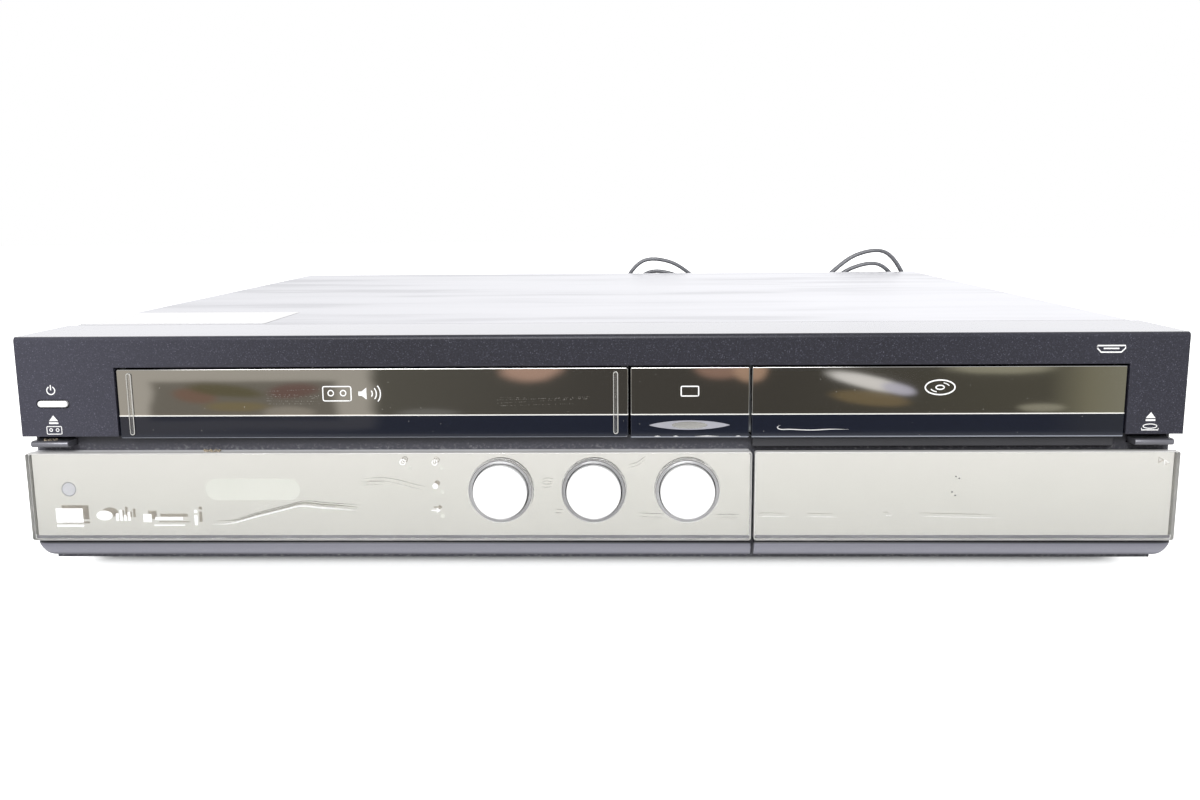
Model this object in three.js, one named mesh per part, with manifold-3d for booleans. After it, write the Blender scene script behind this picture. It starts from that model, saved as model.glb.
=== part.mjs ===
// A living-room recorder: a video cassette deck, a disc tray and a hard drive in one 430 mm case.
// Millimetres. X runs to the right, Y to the back and Z up, and the front faces -Y.
// The origin is on the table under the middle of the case, its lead not counted.
import * as THREE from "three";
import { mergeVertices } from "three/addons/utils/BufferGeometryUtils.js";
import Module from "manifold-3d";

const wasm = await Module();
wasm.setup();

// Overall size
const overall = {
  width: 430,
  height: 96.5,
  caseDepth: 380, // front plane to the rear edge of the cover
  keyProud: 4, // round keys, in front of the front plane
  jackProud: 8, // rear sockets, behind the edge of the cover
};

// Clearances
const seat = 0.3; // between pieces that touch
const running = 0.4; // round a moving piece
const overrun = 1; // how far a cutting tool passes a face
const hair = 0.001; // keeps the two ends of a round outline apart
const halfAgain = 1.5;

// Sizes that are a share of another size are kept to a tenth of a millimetre
function tenth(value) {
  const perMillimetre = 10;
  return Math.round(value * perMillimetre) / perMillimetre;
}

// Bands of the front, as shares of the case's height
const band = { foot: 0.0974, lip: 0.0332, strip: 0.058, panel: 0.3513, neck: 0.0684, header: 0.1192 };

// Levels and gaps of the front
const face = {
  footHeight: tenth(overall.height * band.foot),
  lip: tenth(overall.height * band.lip),
  strip: tenth(overall.height * band.strip),
  panel: tenth(overall.height * band.panel),
  neck: tenth(overall.height * band.neck),
  neckSetback: 8,
  header: tenth(overall.height * band.header),
  wall: 2.4,
  topDepth: 42,
  edgeRadius: 1.6,
  jointGap: 1.1,
  sillDepth: 12,
  frameInset: 1,
};

// Pieces side by side in the front, as shares of the case's width
const row = { pillar: 0.08605, tape: 0.44279, centre: 0.10163, disc: 0.31605, split: 0.13674 };

// The row of three mirror pieces in the upper window
const mirrors = {
  pillar: tenth(overall.width * row.pillar),
  tapeWidth: tenth(overall.width * row.tape),
  centreWidth: tenth(overall.width * row.centre),
  discWidth: tenth(overall.width * row.disc),
  split: 0.9,
  reveal: 0.4,
  recess: 0.8,
  thick: 2.8,
  drop: 0.9, // how far they hang below the fascia
};

// Sheet metal
const sheet = {
  cover: 1, chassis: 1.2, coverInset: 1, coverGround: 12, lipBack: 2, flange: 8, radius: 2.5,
};

const halfWidth = overall.width / 2;
const frontY = overall.keyProud - (overall.keyProud + overall.caseDepth + overall.jackProud) / 2;
const coverBackY = frontY + overall.caseDepth;
const jackY = coverBackY + overall.jackProud;
const topZ = overall.height;
const baseZ = face.footHeight;
const stripZ = baseZ + face.lip;
const panelZ = stripZ + face.strip + seat;
const panelTopZ = panelZ + face.panel;
const fasciaZ = panelTopZ + face.neck;
const windowZ = topZ - face.header;
const neckY = frontY + face.neckSetback;
const fasciaBackY = frontY + face.topDepth;
const floorZ = baseZ + sheet.chassis;
const rearInnerY = coverBackY - sheet.lipBack - sheet.chassis;
const rearOuterY = coverBackY - sheet.lipBack;

// The mirror row
const tapeLeft = -halfWidth + mirrors.pillar;
const tapeRight = tapeLeft + mirrors.tapeWidth;
const centreLeft = tapeRight + mirrors.split;
const centreRight = centreLeft + mirrors.centreWidth;
const discLeft = centreRight + mirrors.split;
const discRight = discLeft + mirrors.discWidth;
const mirrorTop = windowZ - mirrors.reveal * 2;
const mirrorBottom = fasciaZ - mirrors.drop;
const mirrorY = frontY + mirrors.recess;
const mirrorBackY = mirrorY + mirrors.thick;

// Round parts are drawn with these numbers of sides
const sides = { large: 40, medium: 24, small: 14, pin: 10 };

// Places and sizes in the lower panel, as shares of its height
const inPanel = {
  key: 0.56, sensor: 0.578, display: 0.573, radius: 0.301, guide: 0.313, flange: 0.351, hole: 0.357,
};

// Three round keys in the lower panel
const key = {
  count: 3,
  pitch: 35,
  beforeSplit: 59.4, // middle key, left of the split of the lower panel
  rise: tenth(face.panel * inPanel.key),
  radius: tenth(face.panel * inPanel.radius),
  hole: tenth(face.panel * inPanel.hole),
  bevel: 0.6,
  guide: tenth(face.panel * inPanel.guide),
  flangeRadius: tenth(face.panel * inPanel.flange),
  flange: 1.5,
  length: 14.4,
  stem: 3,
  stemEndGap: 1.8,
  travel: 1.5,
};

// Lower panels, strip and flip door
const lower = {
  splitX: tenth(overall.width * row.split),
  corner: 2.5,
  stripCurve: 3.6,
  stripInset: 1.3,
  stripProud: 0.5, // how far the strip sits behind the front plane
  doorClear: 4.4, // thickness of the door's clear panel
  backing: 2.4,
  trim: 2.6,
  hingeY: 5.4, // hinge axis behind the front plane
  hingeRise: 2.8, // hinge axis above the foot of the strip
  barrel: 1.6,
  pin: 0.85,
  lug: 1.9,
  lugBore: 1.2,
  lugWidth: 3,
  barrelWidth: 18,
  hingeInset: 11,
  backingInset: 1.8,
};

// Pocket behind the flip door
const pocket = {
  leftGap: 6.2, // from the split of the lower panel
  rightGap: 6, // from the end of the case
  rise: 2, // above the foot of the panel
  fall: 2.9, // below the head of the panel
  depth: 20,
  wall: 2,
  keyCount: 3,
  keyLeftShare: 0.612,
  pitchShare: 0.1156,
  keyWidth: 10,
  keyHeight: 4,
  keyProud: 4,
  keyTravel: 1.2,
  socketLeftShare: 0.109,
  socketCount: 3,
  socketRadius: 4.4,
  socketBore: 1.7,
  socketProud: 8,
  socketPlate: 1.6,
  dinRadius: 5,
  dinCount: 1,
};

// Small controls of the fascia and the neck
const button = {
  inset: 12.75, rise: 12.4, width: 12, height: 2.7, proud: 0.6, length: 6.4, flange: 1.4,
  travel: 1,
};
const tab = {
  innerInset: 16.6, outerInset: 2.4, height: 2.4, drop: 3.25, reach: 0.6, tail: 5, flange: 1.5,
  travel: 1.2,
};
const sensor = {
  inset: 14.6, rise: tenth(face.panel * inPanel.sensor), radius: 2.7, domeShare: 0.7,
};
const display = {
  inset: 67.1, width: 36.1, height: 8.4, rise: tenth(face.panel * inPanel.display), margin: 3.2,
};
const keyBoard = {
  thick: 1.6, gap: 12, inset: 9, height: 29, bossRadius: 3, bossInset: 25, bossAside: 19,
  bossEnd: 4.7,
};

// Cassette door, hinged behind the header
const tapeDoor = {
  pivotRise: 2.5, // above the lower edge of the header
  pivotBack: 5,
  ear: 2,
  earWidth: 2,
  earInset: 0.5,
  pin: 1.2,
  pinBore: 1.5,
  ribWidth: 1.6,
  ribProud: 0.5,
  ribInset: 3.9,
};

// Cassette carriage, its slider and rails
const cassette = { margin: 1.5, depth: 104, height: 25 };
const carriage = {
  clearance: 0.6,
  sheet: 1,
  headroom: 1.3,
  startBack: 39, // front edge behind the front plane
  slotStart: 36,
  slotHalf: 16,
  travelIn: 40,
  travelDown: 28,
  pin: 1.5,
  pinAt: 52,
  pinDrop: 13,
  windowShare: 0.6,
};
const slider = { gap: 1.7, sheet: 1.2, depth: 48, tab: 12, side: 4.2, slotRun: 2.2, pinDrop: 3.2 };
const rail = { gap: 0.6, sheet: 1.2, front: 42, back: 162, foot: 6.5, slotHalf: 1.8, slotOver: 2.4 };

// Tape deck
const deck = {
  rise: 9.4, // above the chassis floor
  thick: 1.5,
  aside: 14.3, // past the cassette door on each side
  front: 42,
  back: 254,
  postRadius: 4,
  postInset: 6,
  bore: 2,
};
const reel = {
  pitch: 92, back: 132, flange: 15, flangeHeight: 2, hub: 11, hubHeight: 3, spindle: 4.2,
  spindleRise: 24.5, fin: 5.4, finWidth: 1.6, fins: 3, pin: 1.5, lift: 0.8, pinBelow: 3,
};
const drum = {
  aside: -7.2, back: 236, radius: 31, tilt: -5, lift: 4, baseHeight: 13, gap: 0.6, height: 19,
  foot: 22, shaft: 3, shaftBore: 3.4, shaftDeep: 5, groove: 0.8,
};
const capstan = { aside: 62.8, back: 206, shaft: 1.6, rise: 32.5, wheel: 18, wheelHeight: 5, wheelGap: 2 };
const pinch = {
  aside: 80.8, back: 228, post: 2, bore: 2.3, boss: 4, arm: 24, restTurn: 276.7, roller: 6.5,
  low: 3, thick: 3, rollerGap: 1, rollerHeight: 17, swing: 30,
};
// beside the cassette's middle, behind the front
const guide = { radius: 3, height: 30, places: [[-49.2, 212], [38.8, 226]] };

// Disc drive
const disc = {
  front: 11,
  depth: 191,
  below: 1, // housing floor, below the fascia's lower edge
  headroom: 8.5, // housing top, below the top of the case
  sheet: 1.2,
  ledge: 6,
  ledgeRise: 7.7,
  ledgeThick: 2,
  trayInset: 4,
  trayThick: 3.4,
  trayLength: 150,
  trayLip: 2.6,
  lipRise: 22,
  rim: 2.2,
  recessInset: 3.5,
  smallShare: 0.67,
  recessDepth: 1.2,
  centreBack: 66,
  travel: 140,
  opening: 20,
};
const hub = {
  plate: 14.5, plateHeight: 1.4, cone: 7.3, coneHeight: 1.5, shaft: 1.5, shaftBore: 1.9, boss: 5,
  bossHeight: 2.4, motor: 12, motorHeight: 1.4, gap: 0.5, tipShare: 0.7,
};
const sled = {
  width: 44, depth: 24, height: 4, gap: 18, travel: 36, lens: 3.4, lensHeight: 1, rod: 1.5,
  rodBore: 1.9, rodInset: 5, rodLift: 3.6, post: 3, waistShare: 0.8,
};

// Inner units
const bracket = { aside: 2, front: 43, back: 262, thick: 1.2 };
const hardDrive = {
  inset: 10, width: 101.6, length: 147, height: 26.1, front: 47, corner: 3, lid: 0.6, lidInset: 6,
};
const supply = {
  inset: 9, width: 106, front: 273, backGap: 10, rise: 13.4, thick: 1.6, post: 3, postInset: 7,
};
const mainBoard = {
  inset: 9, gap: 5, front: 273, backGap: 6, rise: 13.4, thick: 1.6, post: 3, postInset: 7,
};
const fan = {
  inset: 45, rise: 41.4, size: 50, depth: 15, bore: 23.4, hub: 10, arm: 3, armDepth: 2, blades: 7,
  blade: 22.6, chord: 9, bladeThick: 1.4, pitch: 38, shaft: 1.5, shaftBore: 1.9, slots: 7,
};
const sockets = {
  gap: 12, // right of the aerial block
  rise: 15.9,
  headroom: 12.5,
  depth: 12,
  columns: 4,
  rows: 3,
  pitch: 17.5,
  firstGap: 46,
  endGap: 13.5,
  rowInset: 11.5,
  radius: 4.2,
  bore: 1.7,
  clear: 0.7,
  portGap: 18,
  portWidth: 15,
  hdmiHeight: 5.6,
  hdmiShare: 0.8,
  lanHeight: 12,
  lanShare: 0.46,
  dinRadius: 5.6,
  dinShare: 0.17,
};
const tuner = {
  gap: 3, width: 34, depth: 36, count: 4, inset: 7.5, radius: 4.8, bore: 0.9, clear: 0.7, nut: 6.2,
  nutThick: 1.6,
};
const foot = { radius: 17, flare: 19, inset: 32, backInset: 34, pad: 1.2, frontInset: 60 };
const vent = { count: 14, width: 3, height: 22, firstBack: 200, endGap: 54, headroom: 36.5 };

// Mains lead: a flat twin cord, 4.8 mm wide, and the strain relief that it leaves by
const lead = {
  freePoints: 4, // first points of the run, which rise and fall with the exit
  width: 4.8,
  thick: 2.8,
  inset: 65,
  rise: 19.4,
  flangeRadius: 8.5,
  flange: 3,
  neck: 6,
  neckClear: 0.4,
  neckLength: 6,
  tailRoot: 5.2,
  tailTip: 3.4,
  tailLength: 23,
};
// Hank: two lobes behind the rear panel, drawn in at the middle by a tie
const hank = {
  lobes: 3,
  inset: 107.1,
  middleShare: 0.6031,
  behind: 12.5,
  reach: 101.5,
  reachShare: 0.06,
  reachStep: 4.44,
  waistShare: 0.0933,
  waistStepShare: 0.0487,
  lobeShare: 1.3793,
  lobeStepShare: 0.172,
  skewShare: 0.03,
  lowTurn: 270,
  highTurn: 450,
  startTurn: 218,
  endTurn: 900,
  stepTurn: 15,
  shiftTurn: 100,
  shift: 6,
  sides: 6,
  tieWidth: 4,
  tieWall: 0.9,
  tieClear: 0.7,
};
const plug = {
  width: 17, thick: 9, length: 26, neck: 12, blade: 6.2, bladeThick: 1.5, bladeLength: 17,
  bladePitch: 12.7,
};

// Where the small controls and the inner units are, from the ends of the case
const buttonX = -halfWidth + button.inset;
const sensorX = -halfWidth + sensor.inset;
const displayLeft = -halfWidth + display.inset;
const pocketLeft = lower.splitX + pocket.leftGap;
const pocketRight = halfWidth - pocket.rightGap;
const pocketWidth = pocketRight - pocketLeft;
const socketLeft = pocketLeft + pocketWidth * pocket.socketLeftShare;
const smallKeyLeft = pocketLeft + pocketWidth * pocket.keyLeftShare;
const pocketPitch = pocketWidth * pocket.pitchShare;
const housingLeft = discLeft;
const housingRight = discRight + seat;
const housingFloor = fasciaZ - disc.below;
const ledgeTop = housingFloor + disc.ledgeRise;
const bracketLeft = housingLeft - bracket.aside;
const bracketRight = housingRight + bracket.aside;
const supplyLeft = -halfWidth + supply.inset;
const supplyRight = supplyLeft + supply.width;
const boardLeft = supplyRight + mainBoard.gap;
const boardRight = halfWidth - mainBoard.inset;
const tunerLeft = boardLeft + tuner.gap;
const tunerRight = tunerLeft + tuner.width;
const socketsLeft = tunerRight + sockets.gap;
const socketsFirst = socketsLeft + sockets.firstGap;
const socketsRight = socketsFirst + (sockets.columns - 1) * sockets.pitch + sockets.endGap;
const socketsFoot = floorZ + sockets.rise;
const socketsTop = topZ - sockets.headroom;
const socketsTall = socketsTop - socketsFoot;
const portX = socketsLeft + sockets.portGap;
const hdmiZ = socketsFoot + socketsTall * sockets.hdmiShare;
const lanZ = socketsFoot + socketsTall * sockets.lanShare;
const fanX = halfWidth - fan.inset;
const fanZ = floorZ + fan.rise;
const exitX = -halfWidth + lead.inset;
const exitZ = floorZ + lead.rise;
const deckLevel = floorZ + deck.rise;
const ventPitch = (overall.caseDepth - vent.firstBack - vent.endGap) / vent.count;

// Colours, as three.js wants them: colour, roughness, metalness
const finishes = {
  speckledBlack: ["#2b2b31", 0.42, 0.1],
  satinBlack: ["#1d1d20", 0.5, 0.3],
  neckBlack: ["#141416", 0.7, 0],
  smokedMirror: ["#4a4a44", 0.08, 0.8],
  silverMirror: ["#c9c9c1", 0.12, 0.7],
  stripGrey: ["#55555c", 0.35, 0.4],
  keySilver: ["#f2f2f2", 0.15, 0.6],
  steel: ["#b4b7b8", 0.35, 0.9],
  blackPlastic: ["#17181a", 0.55, 0],
  greyPlastic: ["#7d7f82", 0.5, 0],
  rubber: ["#111111", 0.85, 0],
  board: ["#2f5a3c", 0.6, 0],
  aluminium: ["#cfd2d3", 0.28, 0.95],
  sensorGlass: ["#5c6470", 0.2, 0.1],
  cordBlack: ["#101010", 0.6, 0],
};

// Solids

function toSolid(geometry) {
  const bare = geometry.index ? geometry : geometry.clone();
  bare.deleteAttribute("normal");
  bare.deleteAttribute("uv");
  const merged = mergeVertices(bare, 1e-4);
  return new wasm.Manifold(
    new wasm.Mesh({
      numProp: 3,
      vertProperties: merged.attributes.position.array,
      triVerts: new Uint32Array(merged.index.array),
    }),
  );
}

function toGeometry(solid) {
  const mesh = solid.getMesh();
  const geometry = new THREE.BufferGeometry();
  geometry.setAttribute("position", new THREE.BufferAttribute(mesh.vertProperties, 3));
  geometry.setIndex(new THREE.BufferAttribute(mesh.triVerts, 1));
  const flat = geometry.toNonIndexed();
  flat.computeVertexNormals();
  return flat;
}

function join(...solids) {
  return solids.flat().reduce((whole, piece) => whole.add(piece));
}

function cut(solid, ...tools) {
  return tools.flat().reduce((rest, tool) => rest.subtract(tool), solid);
}

function box(x0, x1, y0, y1, z0, z1) {
  const geometry = new THREE.BoxGeometry(x1 - x0, y1 - y0, z1 - z0);
  geometry.translate((x0 + x1) / 2, (y0 + y1) / 2, (z0 + z1) / 2);
  return toSolid(geometry);
}

function extruded(shape, depth, curves = 6) {
  return new THREE.ExtrudeGeometry(shape, { depth, bevelEnabled: false, curveSegments: curves });
}

// A profile in Y and Z, run along X
function runX(shape, x0, x1, curves) {
  const turn = new THREE.Matrix4().set(0, 0, 1, x0, 1, 0, 0, 0, 0, 1, 0, 0, 0, 0, 0, 1);
  return toSolid(extruded(shape, x1 - x0, curves).applyMatrix4(turn));
}

// A profile in X and Z, run along Y
function runY(shape, y0, y1, curves) {
  const turn = new THREE.Matrix4().set(1, 0, 0, 0, 0, 0, -1, y1, 0, 1, 0, 0, 0, 0, 0, 1);
  return toSolid(extruded(shape, y1 - y0, curves).applyMatrix4(turn));
}

// A profile in X and Y, run along Z
function runZ(shape, z0, z1, curves) {
  return toSolid(extruded(shape, z1 - z0, curves).translate(0, 0, z0));
}

function rodX(y, z, radius, x0, x1, count = sides.pin) {
  const geometry = new THREE.CylinderGeometry(radius, radius, x1 - x0, count);
  geometry.rotateZ(-Math.PI / 2).translate((x0 + x1) / 2, y, z);
  return toSolid(geometry);
}

function rodY(x, z, radius, y0, y1, count = sides.small) {
  const geometry = new THREE.CylinderGeometry(radius, radius, y1 - y0, count);
  geometry.translate(x, (y0 + y1) / 2, z);
  return toSolid(geometry);
}

function rodZ(x, y, radius, z0, z1, count = sides.small) {
  const geometry = new THREE.CylinderGeometry(radius, radius, z1 - z0, count);
  geometry.rotateX(Math.PI / 2).translate(x, y, (z0 + z1) / 2);
  return toSolid(geometry);
}

// A turned piece on a vertical axis, from [radius, height] pairs that start and end on the axis
function turned(x, y, outline, count = sides.medium) {
  const points = outline.map(([r, z]) => new THREE.Vector2(r, z));
  const geometry = new THREE.LatheGeometry(points, count);
  geometry.rotateX(Math.PI / 2).translate(x, y, 0);
  return toSolid(geometry);
}

// The same on an axis along Y, heights counted towards the back
function turnedY(x, z, outline, count = sides.medium) {
  const points = outline.map(([r, y]) => new THREE.Vector2(r, y));
  const geometry = new THREE.LatheGeometry(points, count);
  geometry.translate(x, 0, z);
  return toSolid(geometry);
}

function outlineOf(points) {
  const shape = new THREE.Shape();
  points.forEach(([a, b], i) => (i ? shape.lineTo(a, b) : shape.moveTo(a, b)));
  shape.closePath();
  return shape;
}

function roundedBox(shape, a0, a1, b0, b1, radius) {
  shape.moveTo(a0 + radius, b0);
  shape.lineTo(a1 - radius, b0);
  shape.absarc(a1 - radius, b0 + radius, radius, -Math.PI / 2, 0);
  shape.lineTo(a1, b1 - radius);
  shape.absarc(a1 - radius, b1 - radius, radius, 0, Math.PI / 2);
  shape.lineTo(a0 + radius, b1);
  shape.absarc(a0 + radius, b1 - radius, radius, Math.PI / 2, Math.PI);
  shape.lineTo(a0, b0 + radius);
  shape.absarc(a0 + radius, b0 + radius, radius, Math.PI, halfAgain * Math.PI);
  return shape;
}

function pillY(x0, x1, z0, z1, y0, y1) {
  return runY(roundedBox(new THREE.Shape(), x0, x1, z0, z1, (z1 - z0) / 2 - hair), y0, y1, 5);
}

// The model

const recorder = new THREE.Group();

function add(name, solid, finish, parent = recorder) {
  const [color, roughness, metalness] = finishes[finish];
  const material = new THREE.MeshStandardMaterial({ color, roughness, metalness });
  const mesh = new THREE.Mesh(toGeometry(solid), material);
  mesh.name = name;
  parent.add(mesh);
  return mesh;
}

const keyPlaces = Array.from(
  { length: key.count },
  (_, i) => lower.splitX - key.beforeSplit + (i - (key.count - 1) / 2) * key.pitch,
);
const keyZ = panelZ + key.rise;
const sensorZ = panelZ + sensor.rise;
const displayZ = panelZ + display.rise;
const buttonZ = fasciaZ + button.rise;
const hingeY = frontY + lower.hingeY;
const hingeZ = stripZ + lower.hingeRise;
const doorLeft = lower.splitX + face.jointGap / 2;
const panelRight = lower.splitX - face.jointGap / 2;
const lugPlaces = [pocketLeft + lower.hingeInset / 2, pocketRight - lower.hingeInset / 2];
const pivotY = frontY + tapeDoor.pivotBack;
const pivotZ = windowZ + tapeDoor.pivotRise;
const pocketBackY = neckY + pocket.depth;
const pocketFloorZ = panelZ + pocket.rise;
const pocketTopZ = panelTopZ - pocket.fall;
const plateBackY = neckY + face.wall;
const tabZ = fasciaZ - tab.drop;
const tabInner = halfWidth - tab.innerInset;
const tabOuter = halfWidth - tab.outerInset;
const keyBosses = [
  -halfWidth + keyBoard.bossInset, keyPlaces[0] - keyBoard.bossAside, panelRight - keyBoard.bossEnd,
];
const cassetteX = (tapeLeft + tapeRight) / 2;
const boardY = plateBackY + keyBoard.gap - keyBoard.thick - seat;

function makeFascia() {
  const profile = new THREE.Shape();
  profile.moveTo(frontY, fasciaZ);
  profile.lineTo(frontY, topZ - face.edgeRadius);
  profile.absarc(
    frontY + face.edgeRadius, topZ - face.edgeRadius, face.edgeRadius, Math.PI, Math.PI / 2, true,
  );
  profile.lineTo(fasciaBackY, topZ);
  profile.lineTo(fasciaBackY, fasciaZ);
  const block = runX(profile, -halfWidth, halfWidth, 4);
  const innerX = halfWidth - face.wall;
  const windowLeft = tapeLeft - mirrors.reveal;
  const windowRight = discRight + mirrors.reveal;
  const jambBack = neckY - seat;
  const hollow = box(
    -innerX, innerX, frontY + face.wall, fasciaBackY + overrun, fasciaZ + face.wall,
    topZ - face.wall,
  );
  const underside = box(
    -innerX, innerX, jambBack, fasciaBackY + overrun, fasciaZ - overrun, topZ - face.wall,
  );
  const opening = box(windowLeft, windowRight, frontY - overrun, fasciaBackY, fasciaZ - overrun, windowZ);
  const jambs = [
    box(
      windowLeft - face.wall, windowLeft, frontY + face.wall / 2, jambBack, fasciaZ,
      topZ - face.wall / 2,
    ),
    box(
      windowRight, windowRight + face.wall, frontY + face.wall / 2, jambBack, fasciaZ,
      topZ - face.wall / 2,
    ),
  ];
  const ribLeft = centreLeft + mirrors.split;
  const rib = box(
    ribLeft, ribLeft + face.wall, mirrorBackY + seat, neckY + face.neckSetback, fasciaZ + face.wall,
    topZ - face.wall / 2,
  );
  const bore = rodX(
    pivotY, pivotZ, tapeDoor.pinBore, windowLeft - face.wall - overrun, windowLeft + overrun,
  );
  const ribBore = rodX(pivotY, pivotZ, tapeDoor.pinBore, ribLeft - overrun, ribLeft + face.wall + overrun);
  const slot = pillY(
    buttonX - button.width / 2 - seat,
    buttonX + button.width / 2 + seat,
    buttonZ - button.height / 2 - seat,
    buttonZ + button.height / 2 + seat,
    frontY - overrun,
    frontY + face.wall + overrun,
  );
  const shell = cut(block, hollow, underside, opening);
  return cut(join(shell, jambs, rib), bore, ribBore, slot);
}

function makeFrame() {
  const outer = halfWidth - face.frameInset;
  const inner = outer - face.wall;
  const lipY = neckY + 2 * running;
  const lipBack = neckY + face.neckSetback;
  const plateFoot = hingeZ - face.frameInset + seat / 3;
  const neckTop = fasciaZ - mirrors.drop - 2 * seat;
  const plate = box(-outer, outer, neckY, plateBackY, plateFoot, neckTop);
  const lip = box(
    -outer + lower.stripCurve, outer - lower.stripCurve, lipY, lipBack, baseZ,
    plateFoot + face.wall,
  );
  const cheeks = [
    box(-outer, -inner, neckY, fasciaBackY, stripZ, fasciaZ - seat),
    box(inner, outer, neckY, fasciaBackY, stripZ, fasciaZ - seat),
  ];
  const earX = halfWidth - face.wall - seat;
  const earTop = topZ - 2 * face.header - seat;
  const ears = [
    box(-earX, tapeLeft - mirrors.reveal, neckY, plateBackY, neckTop - overrun, earTop),
    box(discRight + mirrors.reveal, earX, neckY, plateBackY, neckTop - overrun, earTop),
  ];
  const sill = box(tapeLeft, discRight, neckY, neckY + face.sillDepth, neckTop - face.wall, neckTop);
  const pocketMouth = box(
    pocketLeft, pocketRight, neckY - overrun, plateBackY + overrun, pocketFloorZ, pocketTopZ,
  );
  const lugs = lugPlaces.flatMap((x) => {
    const half = lower.lugWidth / 2;
    const web = box(x - half, x + half, hingeY, plateBackY, hingeZ - overrun, hingeZ + overrun);
    return [rodX(hingeY, hingeZ, lower.lug, x - half, x + half, sides.small), web];
  });
  const lugBores = lugPlaces.map((x) =>
    rodX(hingeY, hingeZ, lower.lugBore, x - lower.lugWidth, x + lower.lugWidth),
  );
  const bosses = keyBosses.map((x) =>
    rodY(x, keyZ - keyBoard.height / 3, keyBoard.bossRadius, plateBackY - overrun, boardY - seat),
  );
  const keyBores = keyPlaces.map((x) => rodY(
    x,
    keyZ,
    key.guide,
    neckY - overrun,
    plateBackY + overrun,
    sides.medium,
  ));
  const displayHole = pillY(
    displayLeft,
    displayLeft + display.width,
    displayZ - display.height / 2,
    displayZ + display.height / 2,
    neckY - overrun,
    plateBackY + overrun,
  );
  const sensorHole = rodY(sensorX, sensorZ, sensor.radius + seat, neckY - overrun, plateBackY + overrun);
  const tabSlots = [-1, 1].map((side) => {
    const x0 = side * (side > 0 ? tabInner : tabOuter) - seat;
    const x1 = side * (side > 0 ? tabOuter : tabInner) + seat;
    return box(
      x0, x1, neckY - overrun, plateBackY + tab.tail, tabZ - tab.height / 2 - seat,
      tabZ + tab.height / 2 + seat,
    );
  });
  const body = join(plate, lip, cheeks, ears, sill, lugs, bosses);
  return cut(body, pocketMouth, lugBores, keyBores, displayHole, sensorHole, tabSlots);
}

// The box behind the flip door, open to the front
function makePocket() {
  const frontOfBox = plateBackY + seat;
  const outer = box(
    pocketLeft - pocket.wall,
    pocketRight + pocket.wall,
    frontOfBox,
    pocketBackY + pocket.wall,
    pocketFloorZ - pocket.wall,
    pocketTopZ + pocket.wall,
  );
  const inner = box(pocketLeft, pocketRight, neckY, pocketBackY, pocketFloorZ, pocketTopZ);
  const backWindow = box(
    socketLeft - pocket.socketRadius - running,
    socketLeft + (pocket.socketCount + pocket.dinCount) * pocketPitch - pocket.socketRadius,
    pocketBackY - overrun,
    pocketBackY + pocket.wall + overrun,
    keyZ - pocket.socketRadius - 2 * pocket.wall,
    keyZ + pocket.socketRadius + pocket.wall,
  );
  const keyHoles = smallKeyPlaces().map((x) =>
    pillY(
      x - pocket.keyWidth / 2 - seat,
      x + pocket.keyWidth / 2 + seat,
      keyZ - pocket.keyHeight / 2 - seat,
      keyZ + pocket.keyHeight / 2 + seat,
      pocketBackY - overrun,
      pocketBackY + pocket.wall + overrun,
    ),
  );
  return cut(outer, inner, backWindow, keyHoles);
}

function smallKeyPlaces() {
  return Array.from({ length: pocket.keyCount }, (_, i) => smallKeyLeft + i * pocketPitch);
}

function makeCover() {
  const outer = halfWidth - sheet.coverInset;
  const r = sheet.radius;
  const wall = sheet.cover;
  const inner = outer - wall;
  const profile = new THREE.Shape();
  profile.moveTo(-outer, sheet.coverGround);
  profile.lineTo(-inner, sheet.coverGround);
  profile.lineTo(-inner, topZ - r);
  profile.absarc(-outer + r, topZ - r, r - wall, Math.PI, Math.PI / 2, true);
  profile.lineTo(outer - r, topZ - wall);
  profile.absarc(outer - r, topZ - r, r - wall, Math.PI / 2, 0, true);
  profile.lineTo(inner, sheet.coverGround);
  profile.lineTo(outer, sheet.coverGround);
  profile.lineTo(outer, topZ - r);
  profile.absarc(outer - r, topZ - r, r, 0, Math.PI / 2);
  profile.lineTo(-outer + r, topZ);
  profile.absarc(-outer + r, topZ - r, r, Math.PI / 2, Math.PI);
  const slots = Array.from({ length: vent.count }, (_, i) => {
    const y = frontY + vent.firstBack + i * ventPitch;
    return box(
      -halfWidth - overrun, halfWidth + overrun, y, y + vent.width, topZ - vent.headroom,
      topZ - vent.headroom + vent.height,
    );
  });
  return cut(runY(profile, fasciaBackY + seat, coverBackY, 4), slots);
}

function makeChassis() {
  const outer = halfWidth - sheet.coverInset - sheet.cover - seat - 1.7 * sheet.chassis;
  const back = rearInnerY - seat;
  const front = neckY + face.neckSetback + seat;
  const profile = outlineOf([
    [-outer, baseZ],
    [outer, baseZ],
    [outer, baseZ + sheet.flange],
    [outer - sheet.chassis, baseZ + sheet.flange],
    [outer - sheet.chassis, floorZ],
    [-outer + sheet.chassis, floorZ],
    [-outer + sheet.chassis, baseZ + sheet.flange],
    [-outer, baseZ + sheet.flange],
  ]);
  const slots = Array.from({ length: vent.count }, (_, i) => {
    const y = frontY + vent.firstBack + i * ventPitch;
    return [-1, 1].map((side) => {
      const x = side * vent.height * 3;
      return box(x - vent.height, x + vent.height, y, y + vent.width, baseZ - overrun, floorZ + overrun);
    });
  }).flat();
  return cut(runY(profile, front, back), slots);
}

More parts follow.
